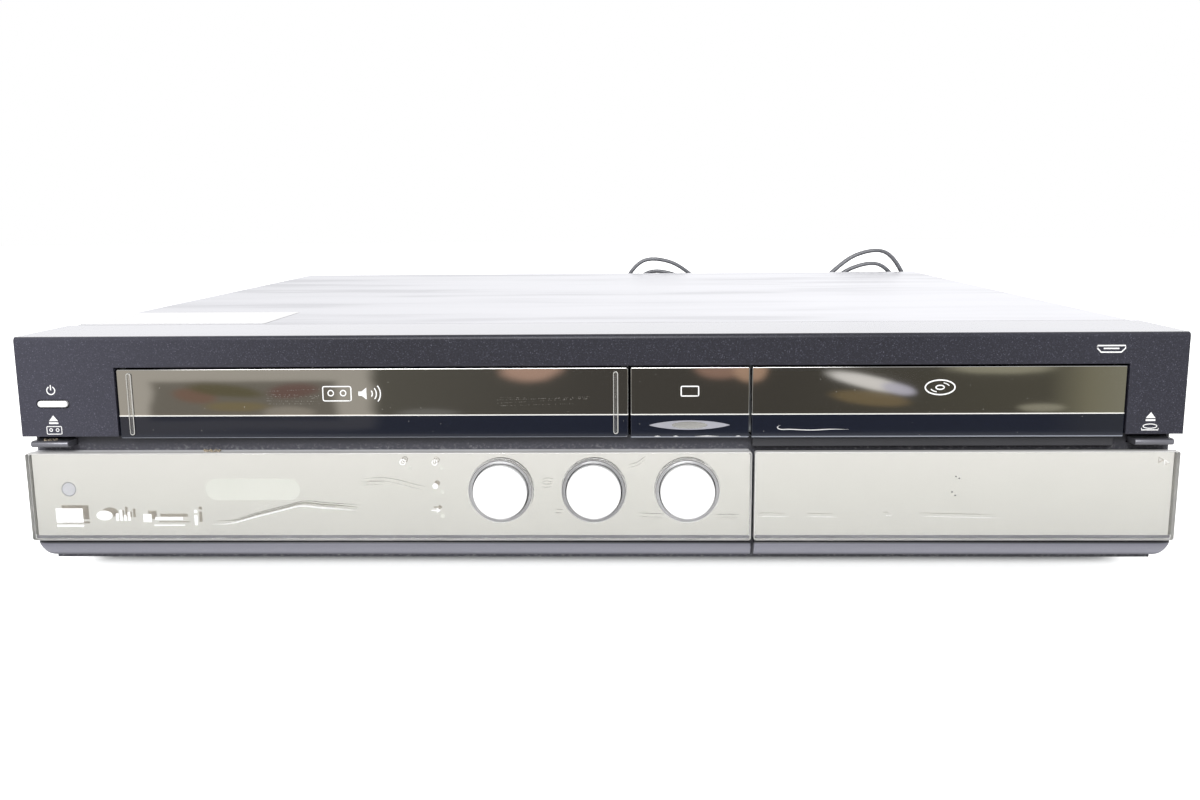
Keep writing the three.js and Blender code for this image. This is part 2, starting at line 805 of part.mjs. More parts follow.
function makeRearPanel() {
  const outer = halfWidth - sheet.coverInset - sheet.cover - seat;
  const shape = roundedBox(
    new THREE.Shape(), -outer, outer, baseZ, topZ - sheet.cover - seat, sheet.radius,
  );
  const plate = runY(shape, rearInnerY, rearOuterY, 3);
  const y0 = rearInnerY - overrun;
  const y1 = rearOuterY + overrun;
  const round = (x, z, r, count) => rodY(x, z, r, y0, y1, count);
  const phono = phonoPlaces().map(([x, z]) => round(x, z, sockets.radius + sockets.clear, sides.small));
  const aerial = aerialPlaces().map((z) => round(
    (tunerLeft + tunerRight) / 2,
    z,
    tuner.radius + tuner.clear,
    sides.small,
  ));
  const din = round(
    portX, socketsFoot + socketsTall * sockets.dinShare, sockets.dinRadius + sockets.clear,
    sides.small,
  );
  const half = sockets.portWidth / 2;
  const ports = [
    box(portX - half, portX + half, y0, y1, hdmiZ, hdmiZ + sockets.hdmiHeight),
    box(portX - half, portX + half, y0, y1, lanZ, lanZ + sockets.lanHeight),
  ];
  const relief = round(exitX, exitZ, lead.neck + lead.neckClear, sides.medium);
  const step = (2 * fan.bore) / (fan.slots + 1);
  const grille = Array.from({ length: fan.slots }, (_, i) => {
    const dz = (i - (fan.slots - 1) / 2) * step;
    const reach = Math.sqrt(fan.bore ** 2 - dz ** 2) - step / 2;
    return pillY(fanX - reach, fanX + reach, fanZ + dz - step / 3, fanZ + dz + step / 3, y0, y1);
  });
  return cut(plate, phono, aerial, din, ports, relief, grille);
}

function phonoPlaces() {
  const places = [];
  for (let row = 0; row < sockets.rows; row++)
    for (let column = 0; column < sockets.columns; column++) {
      const rowPitch = (socketsTall - 2 * sockets.rowInset) / (sockets.rows - 1);
      places.push([socketsFirst + column * sockets.pitch, socketsFoot + sockets.rowInset + row * rowPitch]);
    }
  return places;
}

function aerialPlaces() {
  const pitch = (socketsTall - 2 * tuner.inset) / (tuner.count - 1);
  return Array.from({ length: tuner.count }, (_, i) => socketsFoot + tuner.inset + i * pitch);
}

function makeLowerPanel() {
  const shape = roundedBox(new THREE.Shape(), -halfWidth, panelRight, panelZ, panelTopZ, lower.corner);
  for (const x of keyPlaces) {
    const hole = new THREE.Path();
    hole.absarc(x, keyZ, key.hole, 0, 2 * Math.PI, true);
    shape.holes.push(hole);
  }
  const body = runY(shape, frontY, neckY - seat, sides.medium / 2);
  const bevels = keyPlaces.map((x) =>
    turnedY(x, keyZ, [
      [0, frontY - overrun],
      [key.hole + key.bevel + overrun, frontY - overrun],
      [key.hole - key.bevel / 2, frontY + key.bevel * 1.5],
      [0, frontY + key.bevel * 1.5],
    ]),
  );
  return cut(body, bevels);
}

function stripProfile(backY) {
  const front = frontY + lower.stripProud;
  const head = panelZ - seat;
  const profile = new THREE.Shape();
  profile.moveTo(front, head);
  profile.lineTo(backY, head);
  profile.lineTo(backY, stripZ);
  profile.lineTo(Math.min(front + lower.stripCurve, backY), stripZ);
  profile.quadraticCurveTo(front + lower.stripCurve / 4, stripZ, front, head - face.strip / 2);
  return profile;
}

function makeStrip() {
  const left = -halfWidth + lower.stripInset;
  const body = runX(stripProfile(neckY - seat), left, panelRight, 5);
  const corner = outlineOf([
    [left - overrun, stripZ - overrun],
    [left + 2 * lower.stripCurve, stripZ - overrun],
    [left + lower.stripCurve, stripZ + face.strip / 5],
    [left, panelZ - face.strip / 3],
    [left - overrun, panelZ - face.strip / 3],
  ]);
  return cut(body, runY(corner, frontY - overrun, neckY));
}

function makeDoorPanel() {
  const shape = roundedBox(new THREE.Shape(), doorLeft, halfWidth, panelZ, panelTopZ, lower.corner);
  return runY(shape, frontY, frontY + lower.doorClear, 3);
}

function makeDoorTrim() {
  const right = halfWidth - lower.stripInset / 3;
  const body = runX(stripProfile(frontY + lower.stripProud + lower.trim), doorLeft, right, 5);
  const corner = outlineOf([
    [right + overrun, stripZ - overrun],
    [right - lower.stripCurve, stripZ - overrun],
    [right, stripZ + face.strip / 3],
    [right + overrun, stripZ + face.strip / 3],
  ]);
  return cut(body, runY(corner, frontY - overrun, neckY));
}

function makeDoorBacking() {
  const front = frontY + lower.doorClear + seat;
  const plate = box(
    doorLeft + lower.backingInset,
    halfWidth - lower.backingInset,
    front,
    front + lower.backing,
    panelZ + lower.backing / 4,
    panelTopZ - lower.backing / 4,
  );
  const barrels = lugPlaces.flatMap((x, i) => {
    const side = i ? -1 : 1;
    const near = x + side * (lower.lugWidth / 2 + seat);
    const far = near + side * lower.barrelWidth;
    const [x0, x1] = [Math.min(near, far), Math.max(near, far)];
    const pinEnd = x - side * (lower.lugWidth / 2 + seat);
    const web = box(x0, x1, front, hingeY + lower.pin, hingeZ, panelZ + lower.backing);
    return [
      rodX(hingeY, hingeZ, lower.barrel, x0, x1, sides.small),
      rodX(hingeY, hingeZ, lower.pin, Math.min(pinEnd, near + side), Math.max(pinEnd, near + side)),
      web,
    ];
  });
  return join(plate, barrels);
}

function makeRoundKey() {
  const back = neckY + face.wall + 2 * seat;
  return turnedY(0, 0, [
    [0, frontY - overall.keyProud],
    [key.radius - 0.5 * key.bevel, frontY - overall.keyProud],
    [key.radius, frontY - overall.keyProud + key.bevel],
    [key.radius, back],
    [key.flangeRadius, back],
    [key.flangeRadius, back + key.flange],
    [key.stem, back + key.flange],
    [key.stem, boardY - key.travel - key.stemEndGap],
    [0, boardY - key.travel - key.stemEndGap],
  ]);
}

function makeKeyBoard() {
  const x0 = -halfWidth + keyBoard.inset;
  const x1 = pocketLeft - 3 * face.wall;
  const plate = box(
    x0, x1, boardY, boardY + keyBoard.thick, keyZ - keyBoard.height / 2, keyZ + keyBoard.height / 2,
  );
  const switches = keyPlaces.map((x) => {
    const w = key.stem;
    return box(
      x - w, x + w, boardY - key.stemEndGap + seat, boardY + keyBoard.thick / 2, keyZ - w, keyZ + w,
    );
  });
  return join(plate, switches);
}

function makeDisplay() {
  const z = displayZ;
  const m = display.margin;
  return box(
    displayLeft - m,
    displayLeft + display.width + m,
    plateBackY + seat,
    boardY - seat,
    z - display.height / 2 - m / 2,
    z + display.height / 2 + m / 2,
  );
}

function makeSensor() {
  const z = sensorZ;
  return turnedY(
    sensorX,
    z,
    [
      [0, neckY],
      [sensor.radius * sensor.domeShare, neckY + seat / 3],
      [sensor.radius, neckY + sensor.radius / 4],
      [sensor.radius, boardY - seat],
      [0, boardY - seat],
    ],
    sides.small,
  );
}

function makePowerButton() {
  const z = buttonZ;
  const inner = frontY + face.wall + seat;
  const cap = pillY(
    buttonX - button.width / 2,
    buttonX + button.width / 2,
    z - button.height / 2,
    z + button.height / 2,
    frontY - button.proud,
    inner + button.flange,
  );
  const m = button.flange;
  const flange = box(
    buttonX - button.width / 2 - m,
    buttonX + button.width / 2 + m,
    inner,
    inner + button.flange,
    z - button.height / 2 - m,
    z + button.height / 2 + m,
  );
  return join(cap, flange);
}

function makeTab(side) {
  const x0 = side * (side > 0 ? tabInner : tabOuter);
  const x1 = side * (side > 0 ? tabOuter : tabInner);
  const blade = new THREE.Shape();
  const nose = frontY + tab.reach;
  const back = plateBackY + seat + tab.flange;
  const half = tab.height / 2;
  blade.moveTo(back, tabZ - half);
  blade.lineTo(back, tabZ + half);
  blade.lineTo(nose + half, tabZ + half);
  blade.absarc(nose + half, tabZ, half, Math.PI / 2, halfAgain * Math.PI);
  const middle = (x0 + x1) / 2;
  const reach = (x1 - x0) / 4;
  const flange = box(
    middle - reach,
    middle + reach,
    plateBackY + seat,
    plateBackY + seat + tab.flange,
    tabZ - halfAgain * tab.height,
    tabZ + halfAgain * tab.height,
  );
  return join(runX(blade, x0, x1, 5), flange);
}

function makeSmallKey(x) {
  const flangeY = pocketBackY + pocket.wall + seat;
  const w = pocket.keyWidth / 2;
  const h = pocket.keyHeight / 2;
  const cap = pillY(x - w, x + w, keyZ - h, keyZ + h, pocketBackY - pocket.keyProud, flangeY + overrun);
  const flange = box(
    x - w - h / 2, x + w + h / 2, flangeY, flangeY + h / 2, keyZ - halfAgain * h, keyZ + halfAgain * h,
  );
  return join(cap, flange);
}

function makeFrontSockets() {
  const boardFront = pocketBackY + pocket.wall + seat + pocket.keyHeight / 4 + pocket.keyTravel + 2 * seat;
  const x0 = socketLeft - 2 * pocket.socketRadius;
  const x1 = smallKeyLeft + pocket.keyCount * pocketPitch - pocket.keyHeight;
  const board = box(
    x0, x1, boardFront, boardFront + keyBoard.thick, keyZ - keyBoard.height / 2,
    keyZ + keyBoard.height / 2,
  );
  const count = pocket.socketCount;
  const round = Array.from({ length: count + pocket.dinCount }, (_, i) => {
    const x = socketLeft + i * pocketPitch;
    const r = i < count ? pocket.socketRadius : pocket.dinRadius;
    return rodY(
      x, keyZ, r, pocketBackY - (i < count ? pocket.socketProud : pocket.wall),
      boardFront + overrun,
    );
  });
  const last = socketLeft + (count + pocket.dinCount - 1) * pocketPitch;
  const half = pocket.socketRadius + pocket.wall;
  const carrier = box(
    socketLeft - pocket.socketRadius,
    last + pocket.dinRadius,
    pocketBackY - pocket.socketPlate + overrun,
    boardFront + overrun,
    keyZ - half + seat,
    keyZ + half - seat,
  );
  const bores = Array.from({ length: count }, (_, i) => {
    const x = socketLeft + i * pocketPitch;
    return rodY(x, keyZ, pocket.socketBore, pocketBackY - pocket.socketProud - overrun, pocketBackY);
  });
  return cut(join(board, carrier, round), bores);
}

function makeTapeDoor() {
  const plate = box(tapeLeft, tapeRight, mirrorY, mirrorBackY, mirrorBottom, mirrorTop);
  const ribs = [tapeLeft + tapeDoor.ribInset, tapeRight - tapeDoor.ribInset - tapeDoor.ribWidth].map((x) =>
    pillRib(x),
  );
  const earPlaces = [
    tapeLeft + tapeDoor.earInset,
    tapeRight - tapeDoor.earInset - tapeDoor.earWidth,
  ];
  const ears = earPlaces.flatMap((x) => [
    rodX(pivotY, pivotZ, tapeDoor.ear, x, x + tapeDoor.earWidth, sides.small),
    box(
      x, x + tapeDoor.earWidth, pivotY - tapeDoor.ear, pivotY + tapeDoor.ear / 4,
      mirrorTop - 2 * tapeDoor.ear, pivotZ,
    ),
  ]);
  const pinReach = face.wall - seat;
  const windowLeft = tapeLeft - mirrors.reveal;
  const ribLeft = centreLeft + mirrors.split;
  const pins = [
    rodX(pivotY, pivotZ, tapeDoor.pin, windowLeft - pinReach, tapeLeft + tapeDoor.earInset + overrun),
    rodX(pivotY, pivotZ, tapeDoor.pin, tapeRight - tapeDoor.earInset - overrun, ribLeft + pinReach),
  ];
  return join(plate, ribs, ears, pins);
}

function pillRib(x) {
  const inset = halfAgain * tapeDoor.ribWidth;
  const half = tapeDoor.ribWidth / 2;
  const shape = roundedBox(
    new THREE.Shape(), x, x + 2 * half, mirrorBottom + inset, mirrorTop - inset, half - hair,
  );
  return runY(shape, mirrorY - tapeDoor.ribProud, mirrorY + mirrors.thick / 2, 3);
}

// Disc drive

const discX = (discLeft + discRight) / 2;
const driveFrontY = frontY + disc.front;
const trayWidth = housingRight - housingLeft - 2 * disc.trayInset;
const recessRadius = trayWidth / 2 - disc.recessInset;
const lipTop = housingFloor + disc.lipRise;
const trayFrontY = mirrorBackY + seat;
const discY = trayFrontY + disc.centreBack;
const trayZ = ledgeTop + seat;
const trayTopZ = trayZ + disc.trayThick;

function makeHousing() {
  const s = disc.sheet;
  const z1 = topZ - disc.headroom;
  const backY = driveFrontY + disc.depth;
  const outer = box(housingLeft, housingRight, driveFrontY, backY, housingFloor, z1);
  const inner = box(
    housingLeft + s, housingRight - s, driveFrontY - overrun, backY - s, housingFloor + s, z1 - s,
  );
  const ledges = [
    box(
      housingLeft + s / 2, housingLeft + s + disc.ledge, driveFrontY, backY - s / 2,
      ledgeTop - disc.ledgeThick, ledgeTop,
    ),
    box(
      housingRight - s - disc.ledge, housingRight - s / 2, driveFrontY, backY - s / 2,
      ledgeTop - disc.ledgeThick, ledgeTop,
    ),
  ];
  const boss = rodZ(
    discX, discY, hub.boss, housingFloor + s / 2, housingFloor + s + hub.bossHeight, sides.medium,
  );
  const hole = rodZ(
    discX, discY, hub.shaftBore, housingFloor - overrun,
    housingFloor + s + hub.bossHeight + overrun,
  );
  const rodZLevel = housingFloor + s + sled.rodLift;
  const rods = sledRodPlaces().flatMap((x) => {
    const y0 = discY + hub.plate + seat;
    const y1 = y0 + sled.gap + sled.depth + sled.travel;
    const ends = [y0, y1].map((y) => box(
      x - sled.post,
      x + sled.post,
      y,
      y + sled.post,
      housingFloor + s / 2,
      rodZLevel + sled.rod,
    ));
    return [rodY(x, rodZLevel, sled.rod, y0 + overrun, y1 + overrun, sides.pin), ...ends];
  });
  return cut(join(cut(outer, inner), ledges, boss, rods), hole);
}

function sledRodPlaces() {
  const reach = sled.width / 2 - sled.rodInset;
  return [discX - reach, discX + reach];
}

function makeTray() {
  const half = trayWidth / 2;
  const backY = trayFrontY + disc.trayLength;
  const plate = runZ(
    roundedBox(new THREE.Shape(), discX - half, discX + half, trayFrontY, backY, disc.rim), trayZ,
    trayTopZ, 3,
  );
  const lip = box(
    discX - half, discX + half, trayFrontY, trayFrontY + disc.trayLip, ledgeTop - 2 * disc.trayLip,
    lipTop,
  );
  const recess = rodZ(
    discX, discY, recessRadius, trayTopZ - disc.recessDepth, trayTopZ + overrun, sides.large,
  );
  const small = rodZ(
    discX, discY, recessRadius * disc.smallShare, trayTopZ - 2 * disc.recessDepth,
    trayTopZ + overrun, sides.large,
  );
  const slot = runZ(
    roundedBox(
      new THREE.Shape(), discX - disc.opening, discX + disc.opening, discY - disc.opening,
      discY + recessRadius - disc.rim, disc.opening / 2,
    ),
    trayZ - overrun,
    trayTopZ,
    4,
  );
  const lipClear = box(
    discX - half + disc.rim, discX + half - disc.rim, trayFrontY - overrun,
    trayFrontY + disc.trayLip / 2, lipTop - 2 * disc.rim, lipTop - disc.rim,
  );
  return cut(join(plate, lip), recess, small, slot, lipClear);
}

function makeTrayFront() {
  return box(discLeft, discRight, mirrorY, mirrorBackY, mirrorBottom - seat, mirrorTop);
}

function makeHub() {
  const bossTop = housingFloor + disc.sheet + hub.bossHeight;
  const z0 = bossTop + seat;
  const z1 = z0 + hub.plateHeight;
  return turned(discX, discY, [
    [0, housingFloor + seat],
    [hub.shaft, housingFloor + seat],
    [hub.shaft, z0],
    [hub.plate, z0],
    [hub.plate, z1],
    [hub.cone, z1],
    [hub.cone * hub.tipShare, z1 + hub.coneHeight],
    [0, z1 + hub.coneHeight],
  ]);
}

function makeSled() {
  const y0 = discY + hub.plate + seat + sled.post + seat;
  const z0 = housingFloor + disc.sheet + sled.rodLift - sled.height / 2;
  const half = sled.width / 2;
  const body = box(discX - half, discX + half, y0, y0 + sled.depth, z0, z0 + sled.height);
  const lens = rodZ(
    discX, y0 + sled.depth / 3, sled.lens, z0 + sled.height / 2, z0 + sled.height + sled.lensHeight,
  );
  const waist = box(
    discX - half / 2, discX + half / 2, y0 + sled.depth * sled.waistShare, y0 + sled.depth + overrun,
    z0 - overrun, z0 + sled.height + overrun,
  );
  const bores = sledRodPlaces().map((x) =>
    rodY(
      x, housingFloor + disc.sheet + sled.rodLift, sled.rodBore, y0 - overrun,
      y0 + sled.depth + overrun, sides.pin,
    ),
  );
  return cut(join(body, lens), bores, waist);
}

// Tape deck

const deckTop = deckLevel + deck.thick;
const deckLeft = tapeLeft - deck.aside;
const deckRight = tapeRight + deck.aside;
const reelY = frontY + reel.back;
const drumX = cassetteX + drum.aside;
const drumY = frontY + drum.back;
const capstanX = cassetteX + capstan.aside;
const capstanY = frontY + capstan.back;
const pinchX = cassetteX + pinch.aside;
const pinchY = frontY + pinch.back;
const spindleTop = deckTop + reel.spindleRise;
const reelPlaces = [-1, 1].map((side) => cassetteX + (side * reel.pitch) / 2);

function makeDeck() {
  const y0 = frontY + deck.front;
  const y1 = frontY + deck.back;
  const plate = box(deckLeft, deckRight, y0, y1, deckLevel, deckTop);
  const inset = deck.postInset;
  const corners = [
    [deckLeft + inset, y0 + inset],
    [deckRight - inset, y0 + inset],
    [deckLeft + inset, y1 - inset],
    [deckRight - inset, y1 - inset],
  ];
  const posts = corners.map(([x, y]) => rodZ(
    x,
    y,
    deck.postRadius,
    floorZ + seat,
    deckLevel + overrun / 2,
    sides.pin,
  ));
  const guidePlaces = guide.places.map(([aside, back]) => [cassetteX + aside, frontY + back]);
  const guides = guidePlaces.flatMap(([x, y]) => [
    rodZ(x, y, guide.radius, deckTop - overrun, deckTop + guide.height, sides.pin),
    rodZ(
      x, y, guide.radius * 1.4, deckTop + guide.height, deckTop + guide.height + guide.radius,
      sides.pin,
    ),
  ]);
  const pinPost = rodZ(
    pinchX, pinchY, pinch.post, deckTop - overrun, deckTop + pinch.low + pinch.thick + overrun,
    sides.pin,
  );
  const bores = [
    ...reelPlaces.map((x) => rodZ(x, reelY, deck.bore, deckLevel - overrun, deckTop + overrun, sides.pin)),
    rodZ(capstanX, capstanY, deck.bore, deckLevel - overrun, deckTop + overrun, sides.pin),
  ];
  return cut(join(plate, posts, guides, pinPost), bores);
}

function makeReel(x) {
  const z0 = deckTop + reel.lift;
  const z1 = z0 + reel.flangeHeight;
  const z2 = z1 + reel.hubHeight;
  const body = turned(x, reelY, [
    [0, deckLevel - reel.pinBelow],
    [reel.pin, deckLevel - reel.pinBelow],
    [reel.pin, z0],
    [reel.flange, z0],
    [reel.flange, z1],
    [reel.hub, z1],
    [reel.hub, z2],
    [reel.spindle, z2],
    [reel.spindle, spindleTop - reel.spindle],
    [reel.spindle / 3, spindleTop],
    [0, spindleTop],
  ]);
  const fins = Array.from({ length: reel.fins }, (_, i) => {
    const half = reel.finWidth / 2;
    const fin = box(0, reel.fin, -half, half, z2 - reel.hubHeight / 2, spindleTop - halfAgain * reel.spindle);
    return fin.rotate([0, 0, (i * 360) / reel.fins]).translate([x, reelY, 0]);
  });
  return join(body, fins);
}

const drumTilt = THREE.MathUtils.degToRad(drum.tilt);

// The two drums are drawn upright and leant by their group
function makeDrumBase() {
  const body = rodZ(0, 0, drum.radius, 0, drum.baseHeight, sides.large);
  const stem = rodZ(0, 0, drum.foot, -drum.lift, drum.lift / 2, sides.medium).rotate([-drum.tilt, 0, 0]);
  const bore = rodZ(0, 0, drum.shaftBore, drum.baseHeight - drum.shaftDeep, drum.baseHeight + overrun);
  return cut(join(body, stem), bore);
}

function makeDrum() {
  const z0 = drum.baseHeight + drum.gap;
  const z1 = z0 + drum.height;
  return turned(
    0,
    0,
    [
      [0, drum.baseHeight - drum.shaftDeep + drum.gap],
      [drum.shaft, drum.baseHeight - drum.shaftDeep + drum.gap],
      [drum.shaft, z0],
      [drum.radius, z0],
      [drum.radius, z1 - drum.groove],
      [drum.radius - drum.groove, z1],
      [drum.foot / 2, z1],
      [drum.foot / 2, z1 + drum.shaft],
      [0, z1 + drum.shaft],
    ],
    sides.large,
  );
}

function makeCapstan() {
  const wheelTop = deckLevel - capstan.wheelGap;
  return turned(capstanX, capstanY, [
    [0, wheelTop - capstan.wheelHeight],
    [capstan.wheel, wheelTop - capstan.wheelHeight],
    [capstan.wheel, wheelTop],
    [capstan.shaft, wheelTop],
    [capstan.shaft, deckTop + capstan.rise],
    [0, deckTop + capstan.rise],
  ]);
}

function makePinchArm() {
  const turn = THREE.MathUtils.degToRad(pinch.restTurn);
  const x = pinchX + pinch.arm * Math.cos(turn);
  const y = pinchY + pinch.arm * Math.sin(turn);
  const z0 = deckTop + pinch.low;
  const z1 = z0 + pinch.thick;
  const arm = box(0, pinch.arm, -pinch.post, pinch.post, z0, z1)
    .rotate([0, 0, pinch.restTurn])
    .translate([pinchX, pinchY, 0]);
  const boss = rodZ(pinchX, pinchY, pinch.boss, z0 - overrun, z1, sides.small);
  const pin = rodZ(x, y, pinch.post, z0, z1 + pinch.rollerGap + overrun, sides.pin);
  const roller = rodZ(
    x, y, pinch.roller, z1 + pinch.rollerGap, z1 + pinch.rollerGap + pinch.rollerHeight,
    sides.small,
  );
  const bore = rodZ(pinchX, pinchY, pinch.bore, z0 - 2 * overrun, z1 + overrun, sides.pin);
  return cut(join(arm, boss, pin, roller), bore);
}

// Carriage
const carriageY = frontY + carriage.startBack;
const carriageFloor = mirrorBottom + seat / 3;
const carriageHalf = mirrors.tapeWidth / 2 - cassette.margin + carriage.clearance;
const carriageTop = carriageFloor + cassette.height + carriage.headroom;
const carriagePinY = carriageY + carriage.pinAt;
const carriagePinZ = carriageTop - carriage.pinDrop;
const sliderInner = carriageHalf + carriage.sheet + slider.side - slider.sheet;
const sliderPinZ = carriageTop + carriage.sheet + slider.gap - slider.pinDrop;
const railInner = sliderInner + slider.sheet + rail.gap;

function makeCarriage() {
  const s = carriage.sheet;
  const h = carriageHalf;
  const y1 = carriageY + cassette.depth;
  const outer = box(
    cassetteX - h - s, cassetteX + h + s, carriageY, y1, carriageFloor - s, carriageTop + s,
  );
  const inner = box(
    cassetteX - h, cassetteX + h, carriageY - overrun, y1 + overrun, carriageFloor, carriageTop,
  );
  const slots = reelPlaces.map((x) =>
    box(
      x - carriage.slotHalf, x + carriage.slotHalf, carriageY + carriage.slotStart, y1 + overrun,
      carriageFloor - s - overrun, carriageFloor + overrun,
    ),
  );
  const lightening = h * carriage.windowShare;
  const roof = box(
    cassetteX - lightening, cassetteX + lightening, carriageY + carriage.slotStart,
    y1 - carriage.slotHalf, carriageTop - overrun, carriageTop + s + overrun,
  );
  const pins = [-1, 1].map((side) => {
    const near = cassetteX + side * (h + s / 2);
    const far = cassetteX + side * (sliderInner + slider.sheet);
    return rodX(carriagePinY, carriagePinZ, carriage.pin, Math.min(near, far), Math.max(near, far));
  });
  return join(cut(outer, inner, slots, roof), pins);
}

function makeSlider() {
  const z0 = carriageTop + carriage.sheet + slider.gap;
  const z1 = z0 + slider.sheet;
  const y0 = carriagePinY - slider.depth / 2;
  const y1 = carriagePinY + slider.depth / 2;
  const outer = sliderInner + slider.sheet;
  const foot = carriagePinZ - carriage.travelDown - 2 * slider.slotRun;
  const top = box(cassetteX - outer, cassetteX + outer, y0, y1, z0, z1);
  const sidesOf = [-1, 1].map((side) => {
    const a = cassetteX + side * sliderInner;
    const b = cassetteX + side * outer;
    const plate = box(
      Math.min(a, b), Math.max(a, b), carriagePinY - slider.tab / 2, carriagePinY + slider.tab / 2,
      foot, z1,
    );
    const slotHalf = carriage.pin + running;
    const slot = box(
      Math.min(a, b) - overrun,
      Math.max(a, b) + overrun,
      carriagePinY - slotHalf,
      carriagePinY + slotHalf,
      carriagePinZ - carriage.travelDown - slider.slotRun,
      carriagePinZ + slider.slotRun,
    );
    const far = cassetteX + side * (railInner + rail.sheet + seat);
    const pin = rodX(
      carriagePinY, sliderPinZ, carriage.pin, Math.min(b, far) - slider.sheet / 2,
      Math.max(b, far) + slider.sheet / 2,
    );
    return join(cut(plate, slot), pin);
  });
  const window = box(
    cassetteX - outer * carriage.windowShare, cassetteX + outer * carriage.windowShare,
    y0 + slider.tab, y1 - slider.tab, z0 - overrun, z1 + overrun,
  );
  return join(cut(top, window), sidesOf);
}

function makeRail(side) {
  const a = cassetteX + side * railInner;
  const b = cassetteX + side * (railInner + rail.sheet);
  const c = cassetteX + side * (railInner + rail.foot);
  const y0 = frontY + rail.front;
  const y1 = frontY + rail.back;
  const z0 = deckTop + seat;
  const top = carriageTop + carriage.sheet + slider.gap + slider.sheet;
  const plate = box(Math.min(a, b), Math.max(a, b), y0, y1, z0, top);
  const footPlate = box(Math.min(a, c), Math.max(a, c), y0, y1, z0, z0 + rail.sheet);
  const slot = box(
    Math.min(a, b) - overrun,
    Math.max(a, b) + overrun,
    carriagePinY - rail.slotOver,
    carriagePinY + carriage.travelIn + rail.slotOver,
    sliderPinZ - rail.slotHalf,
    sliderPinZ + rail.slotHalf,
  );
  const middle = (deckTop + sliderPinZ) / 2;
  const relief = box(
    Math.min(a, b) - overrun,
    Math.max(a, b) + overrun,
    y0 + rail.foot * 2,
    y1 - rail.foot * 2,
    middle - 2 * rail.foot,
    middle + 2 * rail.foot,
  );
  return cut(join(plate, footPlate), slot, relief);
}

// Electronics

function makeBracket() {
  const y0 = frontY + bracket.front;
  const y1 = frontY + bracket.back;
  const top = housingFloor - seat;
  const t = bracket.thick;
  const profile = outlineOf([
    [bracketLeft, floorZ + seat],
    [bracketLeft + t, floorZ + seat],
    [bracketLeft + t, top - t],
    [bracketRight - t, top - t],
    [bracketRight - t, floorZ + seat],
    [bracketRight, floorZ + seat],
    [bracketRight, top],
    [bracketLeft, top],
  ]);
  const body = runY(profile, y0, y1);
  const hole = rodZ(discX, discY, hub.boss, top - 2 * t, top + overrun, sides.small);
  const third = (y1 - y0) / 5;
  const windows = [1, 3].map((i) =>
    box(
      bracketLeft - overrun, bracketRight + overrun, y0 + i * third, y0 + (i + 1) * third,
      floorZ + hardDrive.height / 3, top - hardDrive.height / 2,
    ),
  );
  return cut(body, hole, windows);
}

function makeHardDrive() {
  const driveLeft = bracketLeft + hardDrive.inset;
  const top = housingFloor - seat - bracket.thick - seat;
  const x1 = driveLeft + hardDrive.width;
  const y0 = frontY + hardDrive.front;
  const y1 = y0 + hardDrive.length;
  const body = runZ(
    roundedBox(new THREE.Shape(), driveLeft, x1, y0, y1, hardDrive.corner), top - hardDrive.height,
    top, 3,
  );
  const m = hardDrive.lidInset;
  const rim = box(
    driveLeft + m, x1 - m, y0 + m, y1 - m, top - hardDrive.height - overrun,
    top - hardDrive.height + hardDrive.lid,
  );
  return cut(body, rim);
}

function boardWithPosts(size, x0, x1) {
  const y0 = frontY + size.front;
  const y1 = coverBackY - size.backGap;
  const level = floorZ + size.rise;
  const plate = box(x0, x1, y0, y1, level, level + size.thick);
  const places = [];
  for (const x of [x0 + size.postInset, x1 - size.postInset])
    for (const y of [y0 + size.postInset, y1 - size.postInset]) places.push([x, y]);
  return join(
    plate,
    places.map(([x, y]) => rodZ(x, y, size.post, floorZ + seat, level + size.thick / 2, sides.pin)),
  );
}

// Parts on the power board, as shares of its width and depth: middle x, middle y, radius or half sizes, height
const supplyParts = {
  transformer: [0.46, 0.44, 0.16, 0.14, 0.3],
  sink: [0.45, 0.115, 0.19, 0.015, 0.3],
  cans: [
    [0.18, 0.62, 0.11, 0.36],
    [0.8, 0.7, 0.07, 0.22],
    [0.75, 0.3, 0.1, 0.2],
  ],
  finCount: 5,
  finShare: 0.08,
};

function makeSupply() {
  const foot = floorZ + supply.rise + supply.thick / 2;
  const y0 = frontY + supply.front;
  const width = supply.width;
  const depth = coverBackY - supply.backGap - y0;
  const block = ([x, y, halfX, halfY, tall]) =>
    box(
      supplyLeft + width * (x - halfX),
      supplyLeft + width * (x + halfX),
      y0 + depth * (y - halfY),
      y0 + depth * (y + halfY),
      foot,
      foot + width * tall,
    );
  const cans = supplyParts.cans.map(([x, y, radius, tall]) =>
    rodZ(supplyLeft + width * x, y0 + depth * y, width * radius, foot, foot + width * tall, sides.medium),
  );
  const [sinkX, sinkY, , , sinkTall] = supplyParts.sink;
  const fins = Array.from({ length: supplyParts.finCount }, (_, i) => {
    const x = sinkX + (i - (supplyParts.finCount - 1) / 2) * supplyParts.finShare;
    const half = supply.thick / 2 / width;
    return block([x, sinkY + supplyParts.finShare / 2, half, supplyParts.finShare / 2, sinkTall]);
  });
  const board = boardWithPosts(supply, supplyLeft, supplyRight);
  return join(board, block(supplyParts.transformer), block(supplyParts.sink), cans, fins);
}

// Chips on the main board, as shares of its width and depth: left, front, width, depth, and the height in boards
const chipShares = [
  [0.08, 0.2, 0.09, 0.22, 2],
  [0.3, 0.2, 0.09, 0.22, 2],
  [0.62, 0.2, 0.09, 0.22, 2],
];
const chipSink = { count: 6, tall: 9, fillShare: 0.4 };

